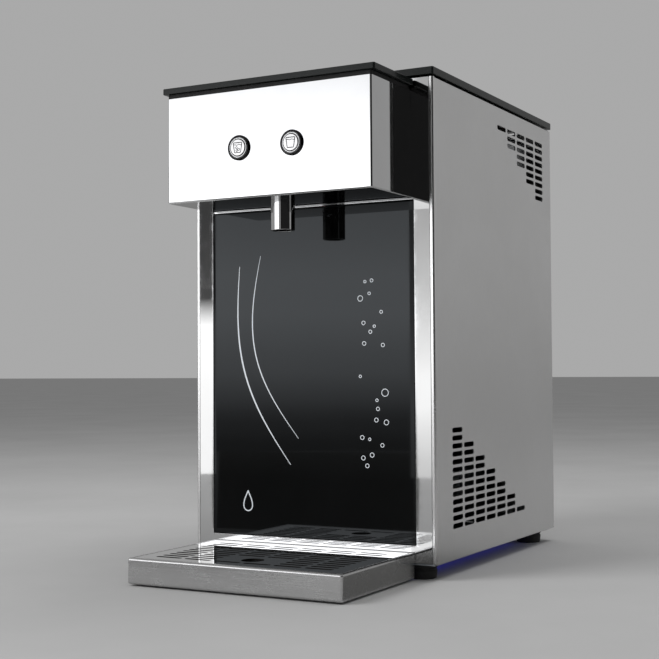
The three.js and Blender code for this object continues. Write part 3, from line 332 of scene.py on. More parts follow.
class Shader:
    """A principled material built from a few short node calls."""

    def __init__(self, name, colour, roughness, metallic=0.0):
        self.material = bpy.data.materials.new(name)
        self.material.use_nodes = True
        self.nodes = self.material.node_tree.nodes
        self.links = self.material.node_tree.links
        self.surface = self.nodes["Principled BSDF"]
        self.surface.inputs["Base Color"].default_value = (*colour, 1)
        self.surface.inputs["Roughness"].default_value = roughness
        self.surface.inputs["Metallic"].default_value = metallic
        self.place = self.nodes.new("ShaderNodeTexCoord").outputs["Object"]

    def stretched(self, scale):
        """Object coordinates scaled along each axis."""
        mapping = self.nodes.new("ShaderNodeMapping")
        mapping.inputs["Scale"].default_value = scale
        self.links.new(self.place, mapping.inputs["Vector"])
        return mapping.outputs["Vector"]

    def noise(self, scale, detail=3, roughness=0.5, vector=None, distortion=0.0):
        """A noise value from 0 to 1."""
        node = self.nodes.new("ShaderNodeTexNoise")
        node.inputs["Scale"].default_value = scale
        node.inputs["Detail"].default_value = detail
        node.inputs["Roughness"].default_value = roughness
        node.inputs["Distortion"].default_value = distortion
        self.links.new(self.place if vector is None else vector, node.inputs["Vector"])
        return node.outputs["Fac"]

    def span(self, value, low, high, source=(0.3, 0.7)):
        """value taken from the source range to low..high."""
        node = self.nodes.new("ShaderNodeMapRange")
        node.inputs["From Min"].default_value = source[0]
        node.inputs["From Max"].default_value = source[1]
        node.inputs["To Min"].default_value = low
        node.inputs["To Max"].default_value = high
        self.links.new(value, node.inputs["Value"])
        return node.outputs["Result"]

    def tint(self, value, stops):
        """A colour ramp from (position, colour) stops."""
        node = self.nodes.new("ShaderNodeValToRGB")
        elements = node.color_ramp.elements
        while len(elements) < len(stops):
            elements.new(0.5)
        for element, (position, colour) in zip(elements, stops):
            element.position = position
            element.color = (*colour, 1)
        self.links.new(value, node.inputs["Fac"])
        return node.outputs["Color"]

    def math(self, operation, first, second):
        """A math node of two values, either of which may be a plain number."""
        node = self.nodes.new("ShaderNodeMath")
        node.operation = operation
        for socket, value in zip(node.inputs, (first, second)):
            if isinstance(value, (int, float)):
                socket.default_value = value
            else:
                self.links.new(value, socket)
        return node.outputs["Value"]

    def paint(self, socket, value):
        self.links.new(value, self.surface.inputs[socket])

    def bump(self, height, strength, distance):
        """Adds a bump on top of those already there."""
        node = self.nodes.new("ShaderNodeBump")
        node.inputs["Strength"].default_value = strength
        node.inputs["Distance"].default_value = distance
        self.links.new(height, node.inputs["Height"])
        normal = self.surface.inputs["Normal"]
        if normal.is_linked:
            self.links.new(normal.links[0].from_socket, node.inputs["Normal"])
        self.links.new(node.outputs["Normal"], normal)


def grey(value, warm=0.0):
    """A grey of this value, a little warmer or, below zero, cooler."""
    return (value * (1 + warm), value, value * (1 - warm))


def mirror_steel():
    """Polished stainless sheet with faint smears and a slight waviness."""
    shader = Shader("mirror_steel", grey(0.62), 0.05, 1)
    smears = shader.noise(9, 4, 0.6, distortion=0.6)
    fine = shader.noise(120, 3, 0.6)
    shader.paint("Roughness", shader.span(shader.math("MULTIPLY", smears, fine), 0.02, 0.065, (0.15, 0.4)))
    shader.paint("Base Color", shader.tint(smears, [(0.3, grey(0.6)), (0.7, grey(0.645, -0.006))]))
    shader.bump(shader.noise(3, 1), 0.02, 0.002)
    return shader.material


def brushed(name, tone, grain, roughness=(0.28, 0.42), depth=0.12):
    """Satin stainless; grain stretches the scratches along one axis."""
    shader = Shader(name, grey(tone), sum(roughness) / 2, 1)
    lines = shader.noise(1, 4, 0.65, shader.stretched(grain))
    broad = shader.noise(4, 3, 0.6, distortion=0.4)
    smears = shader.noise(22, 4, 0.7, distortion=1.2)
    mixed = shader.math("ADD", shader.math("MULTIPLY", lines, 0.6), shader.math("MULTIPLY", broad, 0.4))
    stops = [(0.3, grey(tone * 0.93, 0.006)), (0.7, grey(tone * 1.06))]
    shader.paint("Base Color", shader.tint(mixed, stops))
    wear = shader.math("ADD", shader.math("MULTIPLY", lines, 0.5), shader.math("MULTIPLY", smears, 0.5))
    shader.paint("Roughness", shader.span(wear, *roughness))
    shader.bump(lines, depth, 0.0002)
    return shader.material


def black_acrylic():
    """Glossy black sheet with a trace of dust and hairline scratches."""
    shader = Shader("black_acrylic", grey(0.012), 0.2)
    shader.surface.inputs["Specular IOR Level"].default_value = 0.22
    dust = shader.noise(700, 2, 0.7)
    clouds = shader.noise(14, 3, 0.6)
    scratches = shader.noise(1, 2, 0.5, shader.stretched((900, 30, 300)))
    shader.paint("Base Color", shader.tint(dust, [(0.55, (0.0085, 0.0105, 0.0100)), (0.8, grey(0.03))]))
    shader.paint("Roughness", shader.span(clouds, 0.14, 0.26))
    shader.bump(scratches, 0.04, 0.0001)
    return shader.material


def black_glass():
    """Back-painted toughened glass."""
    shader = Shader("black_glass", grey(0.003), 0.02)
    shader.surface.inputs["IOR"].default_value = 1.34
    shader.surface.inputs["Specular Tint"].default_value = (0.9, 0.96, 1, 1)
    haze = shader.noise(11, 4, 0.65, distortion=0.8)
    shader.paint("Roughness", shader.span(haze, 0.012, 0.045))
    shader.paint("Base Color", shader.tint(haze, [(0.3, grey(0.0025)), (0.75, grey(0.0042))]))
    shader.bump(shader.noise(3, 1), 0.02, 0.002)
    return shader.material


def moulded(name, colour, roughness, grain=900, depth=0.15, variation=0.12):
    """Moulded plastic or rubber with a fine texture and uneven tone."""
    shader = Shader(name, colour, roughness)
    spark = shader.noise(grain, 2, 0.6)
    clouds = shader.noise(30, 3, 0.6)
    dark = tuple(c * (1 - variation) for c in colour)
    light = tuple(min(1, c * (1 + variation) + 0.002) for c in colour)
    shader.paint("Base Color", shader.tint(clouds, [(0.3, dark), (0.7, light)]))
    shader.paint("Roughness", shader.span(spark, roughness * 0.85, min(1, roughness * 1.15)))
    shader.bump(spark, depth, 0.0002)
    return shader.material


def metal(name, colour, roughness, grain=(200, 200, 200), depth=0.1):
    """Bare or plated metal with fine grain, stains and uneven gloss."""
    shader = Shader(name, colour, roughness, 1)
    lines = shader.noise(1, 3, 0.6, shader.stretched(grain))
    stains = shader.noise(35, 4, 0.65, distortion=0.8)
    dark = tuple(c * 0.82 for c in colour)
    shader.paint("Base Color", shader.tint(stains, [(0.35, dark), (0.65, colour)]))
    mixed = shader.math("MULTIPLY", shader.math("ADD", lines, stains), 0.5)
    shader.paint("Roughness", shader.span(mixed, roughness * 0.75, min(1, roughness * 1.3)))
    shader.bump(lines, depth, 0.0002)
    return shader.material


def circuit_board():
    """Green solder mask over a pattern of tracks."""
    shader = Shader("circuit_board", (0.02, 0.1, 0.045), 0.35)
    tracks = shader.nodes.new("ShaderNodeTexBrick")
    tracks.inputs["Scale"].default_value = 160
    tracks.inputs["Color1"].default_value = (0.015, 0.085, 0.035, 1)
    tracks.inputs["Color2"].default_value = (0.025, 0.12, 0.05, 1)
    tracks.inputs["Mortar"].default_value = (0.05, 0.19, 0.09, 1)
    shader.links.new(shader.place, tracks.inputs["Vector"])
    shader.paint("Base Color", tracks.outputs["Color"])
    shader.paint("Roughness", shader.span(shader.noise(200), 0.28, 0.45))
    shader.bump(tracks.outputs["Fac"], 0.2, 0.0002)
    return shader.material


def glowing(name, colour, light, strength):
    """A lamp's lit face, or a print given a painted glow; strength is how much it shines."""
    shader = Shader(name, colour, 0.4)
    mottle = shader.noise(220, 2)
    shader.paint("Base Color", shader.tint(mottle, [(0.3, tuple(c * 0.92 for c in colour)), (0.7, colour)]))
    shader.paint("Roughness", shader.span(mottle, 0.3, 0.5))
    shader.surface.inputs["Emission Color"].default_value = (*light, 1)
    shader.surface.inputs["Emission Strength"].default_value = strength
    return shader.material


UPRIGHT_GRAIN = (2200, 2200, 60)
LEVEL_GRAIN = (25, 900, 900)
EVEN_GRAIN = (900, 900, 900)

MATERIALS = {
    "mirror_steel": mirror_steel(),
    "brushed_steel": brushed("brushed_steel", 0.72, UPRIGHT_GRAIN),
    "tray_steel": brushed("tray_steel", 0.54, LEVEL_GRAIN, (0.22, 0.3), 0.012),
    "satin_steel": brushed("satin_steel", 0.72, EVEN_GRAIN, (0.16, 0.3), 0.05),
    "button_face": brushed("button_face", 0.55, EVEN_GRAIN, (0.14, 0.24), 0.04),
    "black_chrome": metal("black_chrome", grey(0.03), 0.14, depth=0.03),
    # painted shade: this near-black finish on the grid's slot and hole walls stands in for the shade inside
    # them
    "shaded_slot_wall": metal("shaded_slot_wall", (0.035, 0.033, 0.031), 0.6),
    "zinc_steel": metal("zinc_steel", (0.5, 0.53, 0.56), 0.42),
    "black_acrylic": black_acrylic(),
    "black_glass": black_glass(),
    "rubber": moulded("rubber", grey(0.012), 0.75, 700, 0.25),
    "black_nylon": moulded("black_nylon", (0.014, 0.014, 0.015), 0.45),
    "white_nylon": moulded("white_nylon", (0.7, 0.7, 0.66), 0.42, 500, 0.08, 0.04),
    "foam": moulded("foam", (0.78, 0.77, 0.72), 0.9, 260, 0.6, 0.08),
    "aluminium": metal("aluminium", (0.68, 0.69, 0.7), 0.36),
    "copper": metal("copper", (0.72, 0.33, 0.2), 0.3),
    "brass": metal("brass", (0.72, 0.56, 0.27), 0.27),
    "black_enamel": moulded("black_enamel", (0.016, 0.017, 0.019), 0.3, 300, 0.12),
    "circuit_board": circuit_board(),
    "blue_hose": moulded("blue_hose", (0.03, 0.14, 0.48), 0.35, 300, 0.05),
    "red_plastic": moulded("red_plastic", (0.5, 0.03, 0.02), 0.35, 400, 0.08),
    "light_blue": glowing("light_blue", (0.5, 0.6, 0.9), (0.05, 0.05, 1.0), 0.6),
    # painted glow: the white print on the glass shines faintly by itself
    "print_white_painted_glow": glowing("print_white_painted_glow", (0.72, 0.75, 0.78), (0.85, 0.92, 1.0), 0.22),
    "icon_ink": moulded("icon_ink", (0.03, 0.032, 0.036), 0.4, 900, 0.02),
}

NODE_FINISH = {
    "mirror_steel": ["carbonator"],
    "zinc_steel": [
        "base_plate", "mid_shelf", "shelf_bracket_left", "shelf_bracket_right", "thermostat_body",
        "tray_guide_left", "tray_guide_right", "button_nut_left", "button_nut_right",
    ],
    "rubber": ["head_gasket"],
    "black_nylon": [
        "button_switch_left", "button_switch_right", "nozzle_diffuser", "still_valve", "soda_valve",
        "mains_inlet", "rocker_frame", "thermostat_knob", "fan_frame", "fan_rotor",
    ],
    "white_nylon": ["nozzle_block", "soda_tube", "still_tube", "pump_hose"],
    "foam": ["foam_jacket"],
    "aluminium": ["condenser", "cooling_block", "power_supply"],
    "copper": ["discharge_line", "suction_line"],
    "brass": ["pump_head"],
    "black_enamel": ["compressor", "pump_motor"],
    "circuit_board": ["control_board"],
    "blue_hose": ["water_tube"],
    "red_plastic": ["gas_tube", "rocker"],
    "light_blue": ["light_strip"],
}

SMOOTH_NODES = math.radians(40)  # facets that meet at less are one round face


def dress_nodes():
    """Gives every carried-over node its material, round shading and eased edges."""
    for finish, names in NODE_FINISH.items():
        for name in names:
            node = frame["nodes"][name]
            node.data.materials.clear()
            node.data.materials.append(MATERIALS[finish])
            node.data.shade_smooth()
            node.data.set_sharp_from_angle(angle=SMOOTH_NODES)
            bevel = node.modifiers.new("eased", "BEVEL")
            bevel.width = EASE
            bevel.segments = 2
            bevel.limit_method = "ANGLE"
            bevel.angle_limit = SMOOTH_NODES
            bevel.harden_normals = True


dress_nodes()

# ---------------------------------------------------------------- cabinet sheets

VENT_PITCH_Y = 0.03
VENT_PITCH_Z = 0.008
LOWER_VENT = [13, 11, 9, 7, 5, 3, 1]
UPPER_VENT = [9, 7, 5, 3, 1]
LOWER_VENT_FROM_FRONT = 0.054
LOWER_VENT_FROM_FOOT = 0.034
UPPER_VENT_FROM_FRONT = 0.306
UPPER_VENT_FROM_TOP = 0.0225


def vent_slots(y, z, columns, step_y, step_z):
    """Slots in columns that step down one after the other."""
    return [
        stadium(y + column * step_y, z + row * step_z, SLOT_LENGTH, SLOT_HEIGHT)
        for column, count in enumerate(columns)
        for row in range(count)
    ]


LIP = 0.0042  # the side panels fold this far round onto the front
LIP_BEND = 0.002
SIDE_BEND = 0.0014
FLANGE_INSET = 0.0018  # how far the flanges stand in from the sheet's edge
PEG_X = 0.13
PEG_FROM_END = 0.04
PEG_HOLE = 0.003


def main_peg_rows():
    """The y places of the main lid's pegs."""
    (_, y0, _), (_, y1, _) = low_high("left_side_panel")
    return (y0 + PEG_FROM_END, y1 - PEG_FROM_END)


def panel_lip(name, side):
    """The bright narrow fold along the panel's front edge."""
    (x0, y0, _), (x1, _, z1) = low_high(name)
    outer = x1 if side > 0 else x0
    base_top = low_high("base_plate")[1][2]
    inner, wall = outer - side * LIP, outer - side * SHEET
    back = y0 + LIP_BEND + SIDE_BEND
    corners = [
        (wall, back, 0),
        (wall, y0 + SHEET, 0.0002),
        (inner, y0 + SHEET, 0.0002),
        (inner, y0, 0.0002),
        (outer, y0, LIP_BEND),
        (outer, back, 0),
    ]
    outline = softened(corners, closed=True, steps=8)
    mesh = bmesh.new()
    formed(mesh, lambda offset: outline, [(0, base_top + EASE), (0, z1)])
    return piece(f"{name}_lip", mesh, "satin_steel", slot="brushed_steel")


def side_panel(name, side):
    """One folded side sheet with its turned-in flanges, two fields of vents and the lid's peg holes."""
    (x0, y0, z0), (x1, y1, z1) = low_high(name)
    front = y0
    y0 += LIP_BEND
    depth = x1 - x0
    rows = quarter_arc(SIDE_BEND, 5)
    rows += [(0, SHEET), (-FLANGE_INSET, SHEET), (-FLANGE_INSET, depth)]
    rows += [(-FLANGE_INSET - SHEET, depth), (-FLANGE_INSET - SHEET, SHEET)]
    face = x1 if side > 0 else x0
    levels = [(offset, face - side * height) for offset, height in rows]
    through = [(offset, face - side * height) for offset, height in opposite(plate_rows(0, SHEET, 0.0002, 2))]
    low_start = (front + LOWER_VENT_FROM_FRONT, z0 + LOWER_VENT_FROM_FOOT)
    high_start = (front + UPPER_VENT_FROM_FRONT, z1 - UPPER_VENT_FROM_TOP)
    holes = vent_slots(*low_start, LOWER_VENT, VENT_PITCH_Y, VENT_PITCH_Z)
    holes += vent_slots(*high_start, UPPER_VENT, -VENT_PITCH_Y, -VENT_PITCH_Z)
    mesh = bmesh.new()
    formed(mesh, rectangle(y0, y1, z0, z1, SIDE_BEND, 4), levels, holes, through, "x")
    sheet = piece(f"{name}_sheet", mesh, "brushed_steel", [name])
    cutters = []
    for peg_y in main_peg_rows():

        def peg_hole(cutter, y=peg_y):
            round_bar(cutter, PEG_HOLE, z1 - 0.006, z1 + 0.002, "z", side * PEG_X, y, 32)

        cutters.append(peg_hole)
    carve(sheet, *cutters)
    panel_lip(name, side)


GLASS_REVEAL = 0.0005
HEAD_WINDOW = (-0.095, 0.095, 0.392, 0.47)  # x0, x1, z0, z1


def front_plate():
    """Mirror-polished plate with the windows for the glass and the head."""
    (x0, y0, z0), (x1, y1, z1) = low_high("front_plate")
    (gx0, _, gz0), (gx1, _, gz1) = low_high("glass_panel")
    around_glass = (gx0 - GLASS_REVEAL, gx1 + GLASS_REVEAL, gz0 - GLASS_REVEAL, gz1 + GLASS_REVEAL)
    holes = [rectangle(*around_glass, 0.001), rectangle(*HEAD_WINDOW, 0.002)]
    rows = plate_rows(y0, y1, 0.0002, 2)
    mesh = bmesh.new()
    formed(mesh, rectangle(x0, x1, z0, z1, 0.0004, 2), rows, holes, opposite(rows), "y")
    return piece("front_plate_sheet", mesh, "mirror_steel", ["front_plate"])


PEG_RADIUS = 0.0025
PEG_ROOT = 0.001  # how far a peg runs up into its plate
HEAD_PEG_X = 0.104


def lid(name, thick, pegs):
    """A black plate with polished eased edges and its locating pegs."""
    (x0, y0, z0), (x1, y1, z1) = low_high(name)
    foot, root = z1 - thick, z1 - thick + PEG_ROOT
    mesh = bmesh.new()
    formed(mesh, rectangle(x0, x1, y0, y1, 0.002, 6), plate_rows(foot, z1, 0.0006, 4))
    profile = softened([(0, z0, 0), (PEG_RADIUS, z0, 0.0008), (PEG_RADIUS, root, 0), (0, root, 0)])
    for x, y in pegs:
        turned(mesh, profile, "z", x, y, 24)
    return piece(f"{name}_plate", mesh, "black_acrylic", [name], name)


def lids():
    """Both lift-off lids."""
    lid("main_lid", 0.0075, [(x, y) for x in (-PEG_X, PEG_X) for y in main_peg_rows()])
    front = low_high("head_shell")[0][1]
    back = low_high("head_lid")[1][1]
    lid("head_lid", 0.006, [(x, y) for x in (-HEAD_PEG_X, HEAD_PEG_X) for y in (front + 0.012, back - 0.01)])


side_panel("left_side_panel", -1)
side_panel("right_side_panel", 1)
front_plate()
lids()

# ---------------------------------------------------------------- dispensing head


BUTTON_HOLE = 0.011
HEAD_BEND = 0.002
HEAD_FLANGE = 0.012


def head_shell():
    """One folded sheet: front, sides and underside, open at the top and to the cabinet."""
    (x0, y0, z0), (x1, y1, z1) = low_high("head_shell")
    rows = [(offset, z0 + height) for offset, height in quarter_arc(HEAD_BEND, 6)]
    rows += [(0, z1 - EASE), (-EASE, z1), (EASE - SHEET, z1), (-SHEET, z1 - EASE), (-SHEET, z0 + HEAD_BEND)]
    inner = [(offset - SHEET, height) for offset, height in quarter_arc(HEAD_BEND - SHEET, 3)]
    rows += [(offset, z0 + SHEET + height) for offset, height in reversed(inner)]
    (nx0, ny0, _), (nx1, ny1, _) = low_high("nozzle_tube")
    nozzle = circle((nx0 + nx1) / 2, (ny0 + ny1) / 2, (nx1 - nx0) / 2 + EASE)
    through = opposite(plate_rows(z0, z0 + SHEET, 0.0001, 1))
    mesh = bmesh.new()
    formed(mesh, rectangle(x0, x1, y0, y1, HEAD_BEND, 6), rows, [nozzle], through)
    shell = piece("head_shell_sheet", mesh, "mirror_steel", ["head_shell"])
    reach = x1 - SHEET - HEAD_FLANGE

    def back_window(cutter):
        slab(cutter, -reach, reach, y1 - 0.004, y1 + 0.004, z0 + SHEET, z1 + 0.01)

    holes = [back_window]
    for side in BUTTON_SIDES:
        centre = centre_of(f"button_bezel_{side}")

        def button_hole(cutter, centre=centre):
            round_bar(cutter, BUTTON_HOLE, y0 - 0.002, y0 + 0.004, "y", *centre)

        holes.append(button_hole)
    carve(shell, *holes)
    return shell


BARREL = 0.0107  # radius of the bezel behind the panel
CAP_RADIUS = 0.0083
RING_STEP = 0.0013  # width of the bezel's bright inner ring


def button(side, body):
    """A 22 mm push button: black-chromed bezel with a bright inner ring, satin cap and drink symbol."""
    (x0, y0, _), (x1, y1, _) = low_high(f"button_bezel_{side}")
    x, z = centre_of(f"button_bezel_{side}")
    radius = (x1 - x0) / 2
    face = y0 + 0.0022  # where the bezel sits on the panel
    bore = CAP_RADIUS + 0.0003
    profile = softened(
        [
            (bore, y0 + 0.0011, 0.0001),
            (bore + 0.0003, y0 + 0.0002, 0.0002),
            (bore + 0.0009, y0 + 0.0002, 0.0002),
            (bore + 0.0011, y0 + 0.0008, 0.0001),
            (bore + RING_STEP, y0 + 0.0008, 0.0001),
            (bore + RING_STEP, y0, 0.0003),
            (radius - 0.0013, y0 + 0.0002, 0.0009),
            (radius, y0 + 0.0010, 0.0005),
            (radius, face, 0),
            (BARREL, face, 0),
            (BARREL, y1, 0.0003),
            (bore, y1, 0.0003),
        ],
        closed=True,
    )
    mesh = bmesh.new()
    turned(mesh, profile, "y", x, z, 96)
    for ring_face in mesh.faces:
        centre = ring_face.calc_center_median()
        ring_face.material_index = int(math.hypot(centre.x - x, centre.z - z) > bore + RING_STEP)
    piece(f"bezel_{side}", mesh, "mirror_steel", [f"button_bezel_{side}"], second="black_chrome")

    (_, front, _), (_, back, _) = low_high(f"button_cap_{side}")
    profile = softened([(0, front, 0), (CAP_RADIUS, front, 0.0007), (CAP_RADIUS, back, 0.0003), (0, back, 0)])
    mesh = bmesh.new()
    turned(mesh, profile, "y", x, z, 96)
    piece(f"cap_{side}", mesh, "button_face", [f"button_cap_{side}"], body, "brushed_steel")
    symbol(side, body, x, z, front)


def symbol(side, body, x, z, face):
    """A tumbler outline on the cap; the left one has bubbles in it."""
    mesh = bmesh.new()
    front, back = face - 0.00005, face + 0.0001
    half_top, half_foot, height = 0.0050, 0.0035, 0.0098
    line = 0.0009
    z0 = z - height * 0.52
    corners = [
        (x - half_top, z0 + height, 0.0006),
        (x - half_foot, z0, 0.0008),
        (x + half_foot, z0, 0.0008),
        (x + half_top, z0 + height, 0.0006),
    ]
    ribbon(mesh, softened(corners, closed=True), line, front, back, closed=True)
    level = z0 + height * 0.78
    waves = [(x + half_top * 0.9 * (i / 6 - 1), level + 0.0003 * math.sin(i)) for i in range(13)]
    ribbon(mesh, waves, line * 0.7, front, back)
    if side == "left":
        bubbles = [(-0.0010, 0.0020, 0.0009), (0.0013, 0.0031, 0.0011), (-0.0013, 0.0050, 0.0010)]
        for dx, dz, size in bubbles:
            ring = circle(x + dx, z0 + dz, size, 20)(0)
            ribbon(mesh, ring, line * 0.7, front, back, closed=True)
    return piece(f"symbol_{side}", mesh, "icon_ink", body=body, slot="black_nylon")


NOZZLE_WALL = 0.002


def nozzle():
    """The polished sleeve under the head."""
    (x0, y0, z0), (x1, y1, z1) = low_high("nozzle_tube")
    radius = (x1 - x0) / 2
    bore = radius - NOZZLE_WALL
    corners = [(bore, z0, 0.0004), (radius, z0, 0.0006), (radius, z1, 0.0003), (bore, z1, 0.0003)]
    profile = softened(corners, closed=True)
    mesh = bmesh.new()
    turned(mesh, profile, "z", (x0 + x1) / 2, (y0 + y1) / 2, 96)
    return piece("nozzle_sleeve", mesh, "mirror_steel", ["nozzle_tube"])


head_shell()
for button_side in BUTTON_SIDES:
    button(button_side, f"button_{button_side}")
nozzle()

# ---------------------------------------------------------------- glass panel


def glass_panel():
    """The pane with its ground edges."""
    (x0, y0, z0), (x1, y1, z1) = low_high("glass_panel")
    mesh = bmesh.new()
    formed(mesh, rectangle(x0, x1, z0, z1, 0.0015, 5), plate_rows(y0, y1, 0.0007, 2), axis="y")
    return piece("glass_pane", mesh, "black_glass", ["glass_panel"])


BUBBLES = 22
BUBBLE_GAP = 0.003


def glass_print():
    """Plain decoration on the glass: two bowed lines, rising bubbles and a drop."""
    (x0, y0, z0), (x1, _, z1) = low_high("glass_panel")
    front, back = y0 - 0.00012, y0 + 0.0001
    width, height = x1 - x0, z1 - z0
    mesh = bmesh.new()

    def bowed(start, end, bow, line):
        a, b = Vector(start), Vector(end)
        side = Vector((b.y - a.y, a.x - b.x)).normalized() * bow
        steps = 48
        points = []
        for i in range(steps + 1):
            t = i / steps
            points.append(a.lerp(b, t) + side * math.sin(math.pi * t))
        ribbon(mesh, points, lambda t: line * (0.35 + 0.65 * math.sin(math.pi * t)), front, back)

    def spot(u, v):
        return (x0 + u * width, z0 + v * height)

    bowed(spot(0.14, 0.83), spot(0.40, 0.22), 0.026, 0.0017)
    bowed(spot(0.25, 0.86), spot(0.44, 0.30), 0.030, 0.0013)
    chance = random.Random(7)
    placed = []
    while len(placed) < BUBBLES:
        v = chance.random()
        size = 0.0013 + 0.003 * chance.random() ** 2
        u = 0.82 - 0.05 * v + (chance.random() - 0.5) * 0.13
        x, z = spot(u, 0.21 + 0.64 * v)
        if all(math.dist((x, z), other[:2]) > size + other[2] + BUBBLE_GAP for other in placed):
            placed.append((x, z, size))
            ribbon(mesh, circle(x, z, size, 32)(0), 0.0007, front, back, closed=True)
    x, z = spot(0.18, 0.105)
    drop = []
    for i in range(40):
        angle = 2 * math.pi * i / 40
        drop.append((x + 0.0075 * math.sin(angle) * math.sin(angle / 2) ** 1.4, z + 0.0105 * math.cos(angle)))
    ribbon(mesh, drop, 0.0012, front, back, closed=True)
    # the print shines with a faint painted glow
    return piece("glass_print", mesh, "print_white_painted_glow", slot="white_nylon")


glass_panel()
glass_print()

# ---------------------------------------------------------------- drip tray and grid

TRAY_BEND = 0.0025
TRAY_WALL = 0.0012
TRAY_RIM = 0.0042
LEDGE = 0.004
TONGUE_X = (0.062, 0.082)
TONGUE_Z = (0.0098, 0.0128)


def drip_tray():
    """A folded pan whose rim turns in to a ledge, with two tongues that reach under the cabinet."""
    (x0, y0, z0), (x1, tongue_end, z1) = low_high("drip_tray")
    y1 = low_high("front_plate")[0][1] - 0.0005
    ledge_z = low_high("drip_grid")[0][2] - 0.0003
    rows = [(offset, z0 + height) for offset, height in quarter_arc(TRAY_BEND, 6)]
    rows += [(offset, z1 - height) for offset, height in reversed(quarter_arc(TRAY_BEND, 6))]
    rows += [(-TRAY_RIM, z1 - 0.0002), (-TRAY_RIM, ledge_z), (-TRAY_RIM - LEDGE, ledge_z)]
    rows += [(-TRAY_RIM - LEDGE, ledge_z - TRAY_WALL), (-TRAY_WALL, ledge_z - TRAY_WALL)]
    rows += [(-TRAY_WALL, z0 + TRAY_BEND), (-TRAY_BEND, z0 + TRAY_WALL)]
    mesh = bmesh.new()
    formed(mesh, rectangle(x0, x1, y0, y1, TRAY_BEND + 0.0003, 6), rows)
    for side in (-1, 1):
        xs = sorted(side * x for x in TONGUE_X)
        slab(mesh, *xs, y1 - TRAY_WALL, tongue_end, *TONGUE_Z, 0.0004)
    return piece("drip_tray_pan", mesh, "tray_steel", ["drip_tray"], "tray", "brushed_steel")


GRID_SLOT = (0.029, 0.0055)
GRID_PITCH = (0.033, 0.011)
GRID_COUNT = (6, 11)
FINGER_HOLE = 0.011
FINGER_HOLE_FROM_PLATE = 0.112


def drip_grid():
    """A polished plate with rows of slots and a finger hole, whose walls carry a dark painted shade."""
    (x0, y0, z0), (x1, y1, z1) = low_high("drip_grid")
    length, width = GRID_SLOT
    centre = (y0 + y1) / 2
    hole_y = low_high("front_plate")[0][1] - FINGER_HOLE_FROM_PLATE
    holes = [circle(0, hole_y, FINGER_HOLE)]
    for column in range(GRID_COUNT[0]):
        for row in range(GRID_COUNT[1]):
            x = (column - (GRID_COUNT[0] - 1) / 2) * GRID_PITCH[0]
            y = centre + (row - (GRID_COUNT[1] - 1) / 2) * GRID_PITCH[1]
            if math.hypot(max(abs(x) - length / 2, 0), y - hole_y) > FINGER_HOLE + width:
                holes.append(stadium(x, y, length, width, 6))
    rows = plate_rows(z0, z1, 0.0004, 3)
    through = opposite(plate_rows(z0, z1, 0.0001, 1))
    mesh = bmesh.new()
    # the hole walls take the second finish, the dark painted shade
    formed(mesh, rectangle(x0, x1, y0, y1, 0.0015, 4), rows, holes, through, hole_finish=1)
    return piece("drip_grid_plate", mesh, "mirror_steel", ["drip_grid"], "grid", second="shaded_slot_wall")


drip_tray()
drip_grid()

# ---------------------------------------------------------------- rear panel and its fittings

LOUVRE_X = 0.04
LOUVRE_Z = 0.26
LOUVRE_PITCH = 0.014
LOUVRE_LENGTH = 0.06
LOUVRE_ROWS = 6
INLET_HOLE = 0.007
KNOB_SHAFT_HOLE = 0.0054
FITTING_CUTOUTS = {"mains_inlet": (0.0142, 0.0107), "rocker_frame": (0.0112, 0.0147)}  # half width and height


def rear_panel():
    """The rear sheet with its louvres and the cut-outs for the fittings."""
    (x0, y0, z0), (x1, y1, z1) = low_high("rear_panel")
    holes = [
        stadium(side * LOUVRE_X, LOUVRE_Z + row * LOUVRE_PITCH, LOUVRE_LENGTH, SLOT_HEIGHT)
        for side in (-1, 1)
        for row in range(LOUVRE_ROWS)
    ]
    holes += [circle(*centre_of(node), INLET_HOLE, 32) for node in ("water_inlet", "gas_inlet")]
    holes.append(circle(*centre_of("thermostat_body"), KNOB_SHAFT_HOLE, 32))
    for node, (half_x, half_z) in FITTING_CUTOUTS.items():
        x, z = centre_of(node)
        holes.append(rectangle(x - half_x, x + half_x, z - half_z, z + half_z, 0.001, 3))
    rows = plate_rows(y0, y1, 0.0002, 2)
    mesh = bmesh.new()
    formed(mesh, rectangle(x0, x1, z0, z1, 0.0006, 3), rows, holes, opposite(rows), "y")
    return piece("rear_panel_sheet", mesh, "brushed_steel", ["rear_panel"])


SCREW_RADIUS = 0.0036
SCREW_HEAD = 0.0018
SCREW_FROM_SIDE = 0.008
SCREW_FROM_END = 0.012


def screw(mesh, x, z, face):
    """Adds a pan head with a round socket, standing out from a face towards +Y."""
    socket = [(0, face + 0.0006), (0.0012, face + 0.0006), (0.0012, face + SCREW_HEAD)]
    dome = [
        (SCREW_RADIUS * 0.55, face + SCREW_HEAD),
        (SCREW_RADIUS * 0.85, face + SCREW_HEAD * 0.8),
        (SCREW_RADIUS, face + SCREW_HEAD * 0.4),
        (SCREW_RADIUS, face - EASE),
        (0, face - EASE),
    ]
    turned(mesh, socket + dome, "y", x, z, 24)


def rear_screws():
    """Four screws down each side of the rear panel."""
    (x0, _, z0), (x1, face, z1) = low_high("rear_panel")
    mesh = bmesh.new()
    for x in (x0 + SCREW_FROM_SIDE, x1 - SCREW_FROM_SIDE):
        for z in (z0 + SCREW_FROM_END, (z0 * 2 + z1) / 3, (z0 + z1 * 2) / 3, z1 - SCREW_FROM_END):
            screw(mesh, x, z, face)
    return piece("rear_screws", mesh, "zinc_steel")


THREAD = 0.0066  # outer radius
THREAD_PITCH = 0.00134
THREAD_DEPTH = 0.0006
HEXAGON = 0.006  # how far the nut stands out
STUB_BORE = 0.0019
STUB_BORE_DEPTH = 0.02


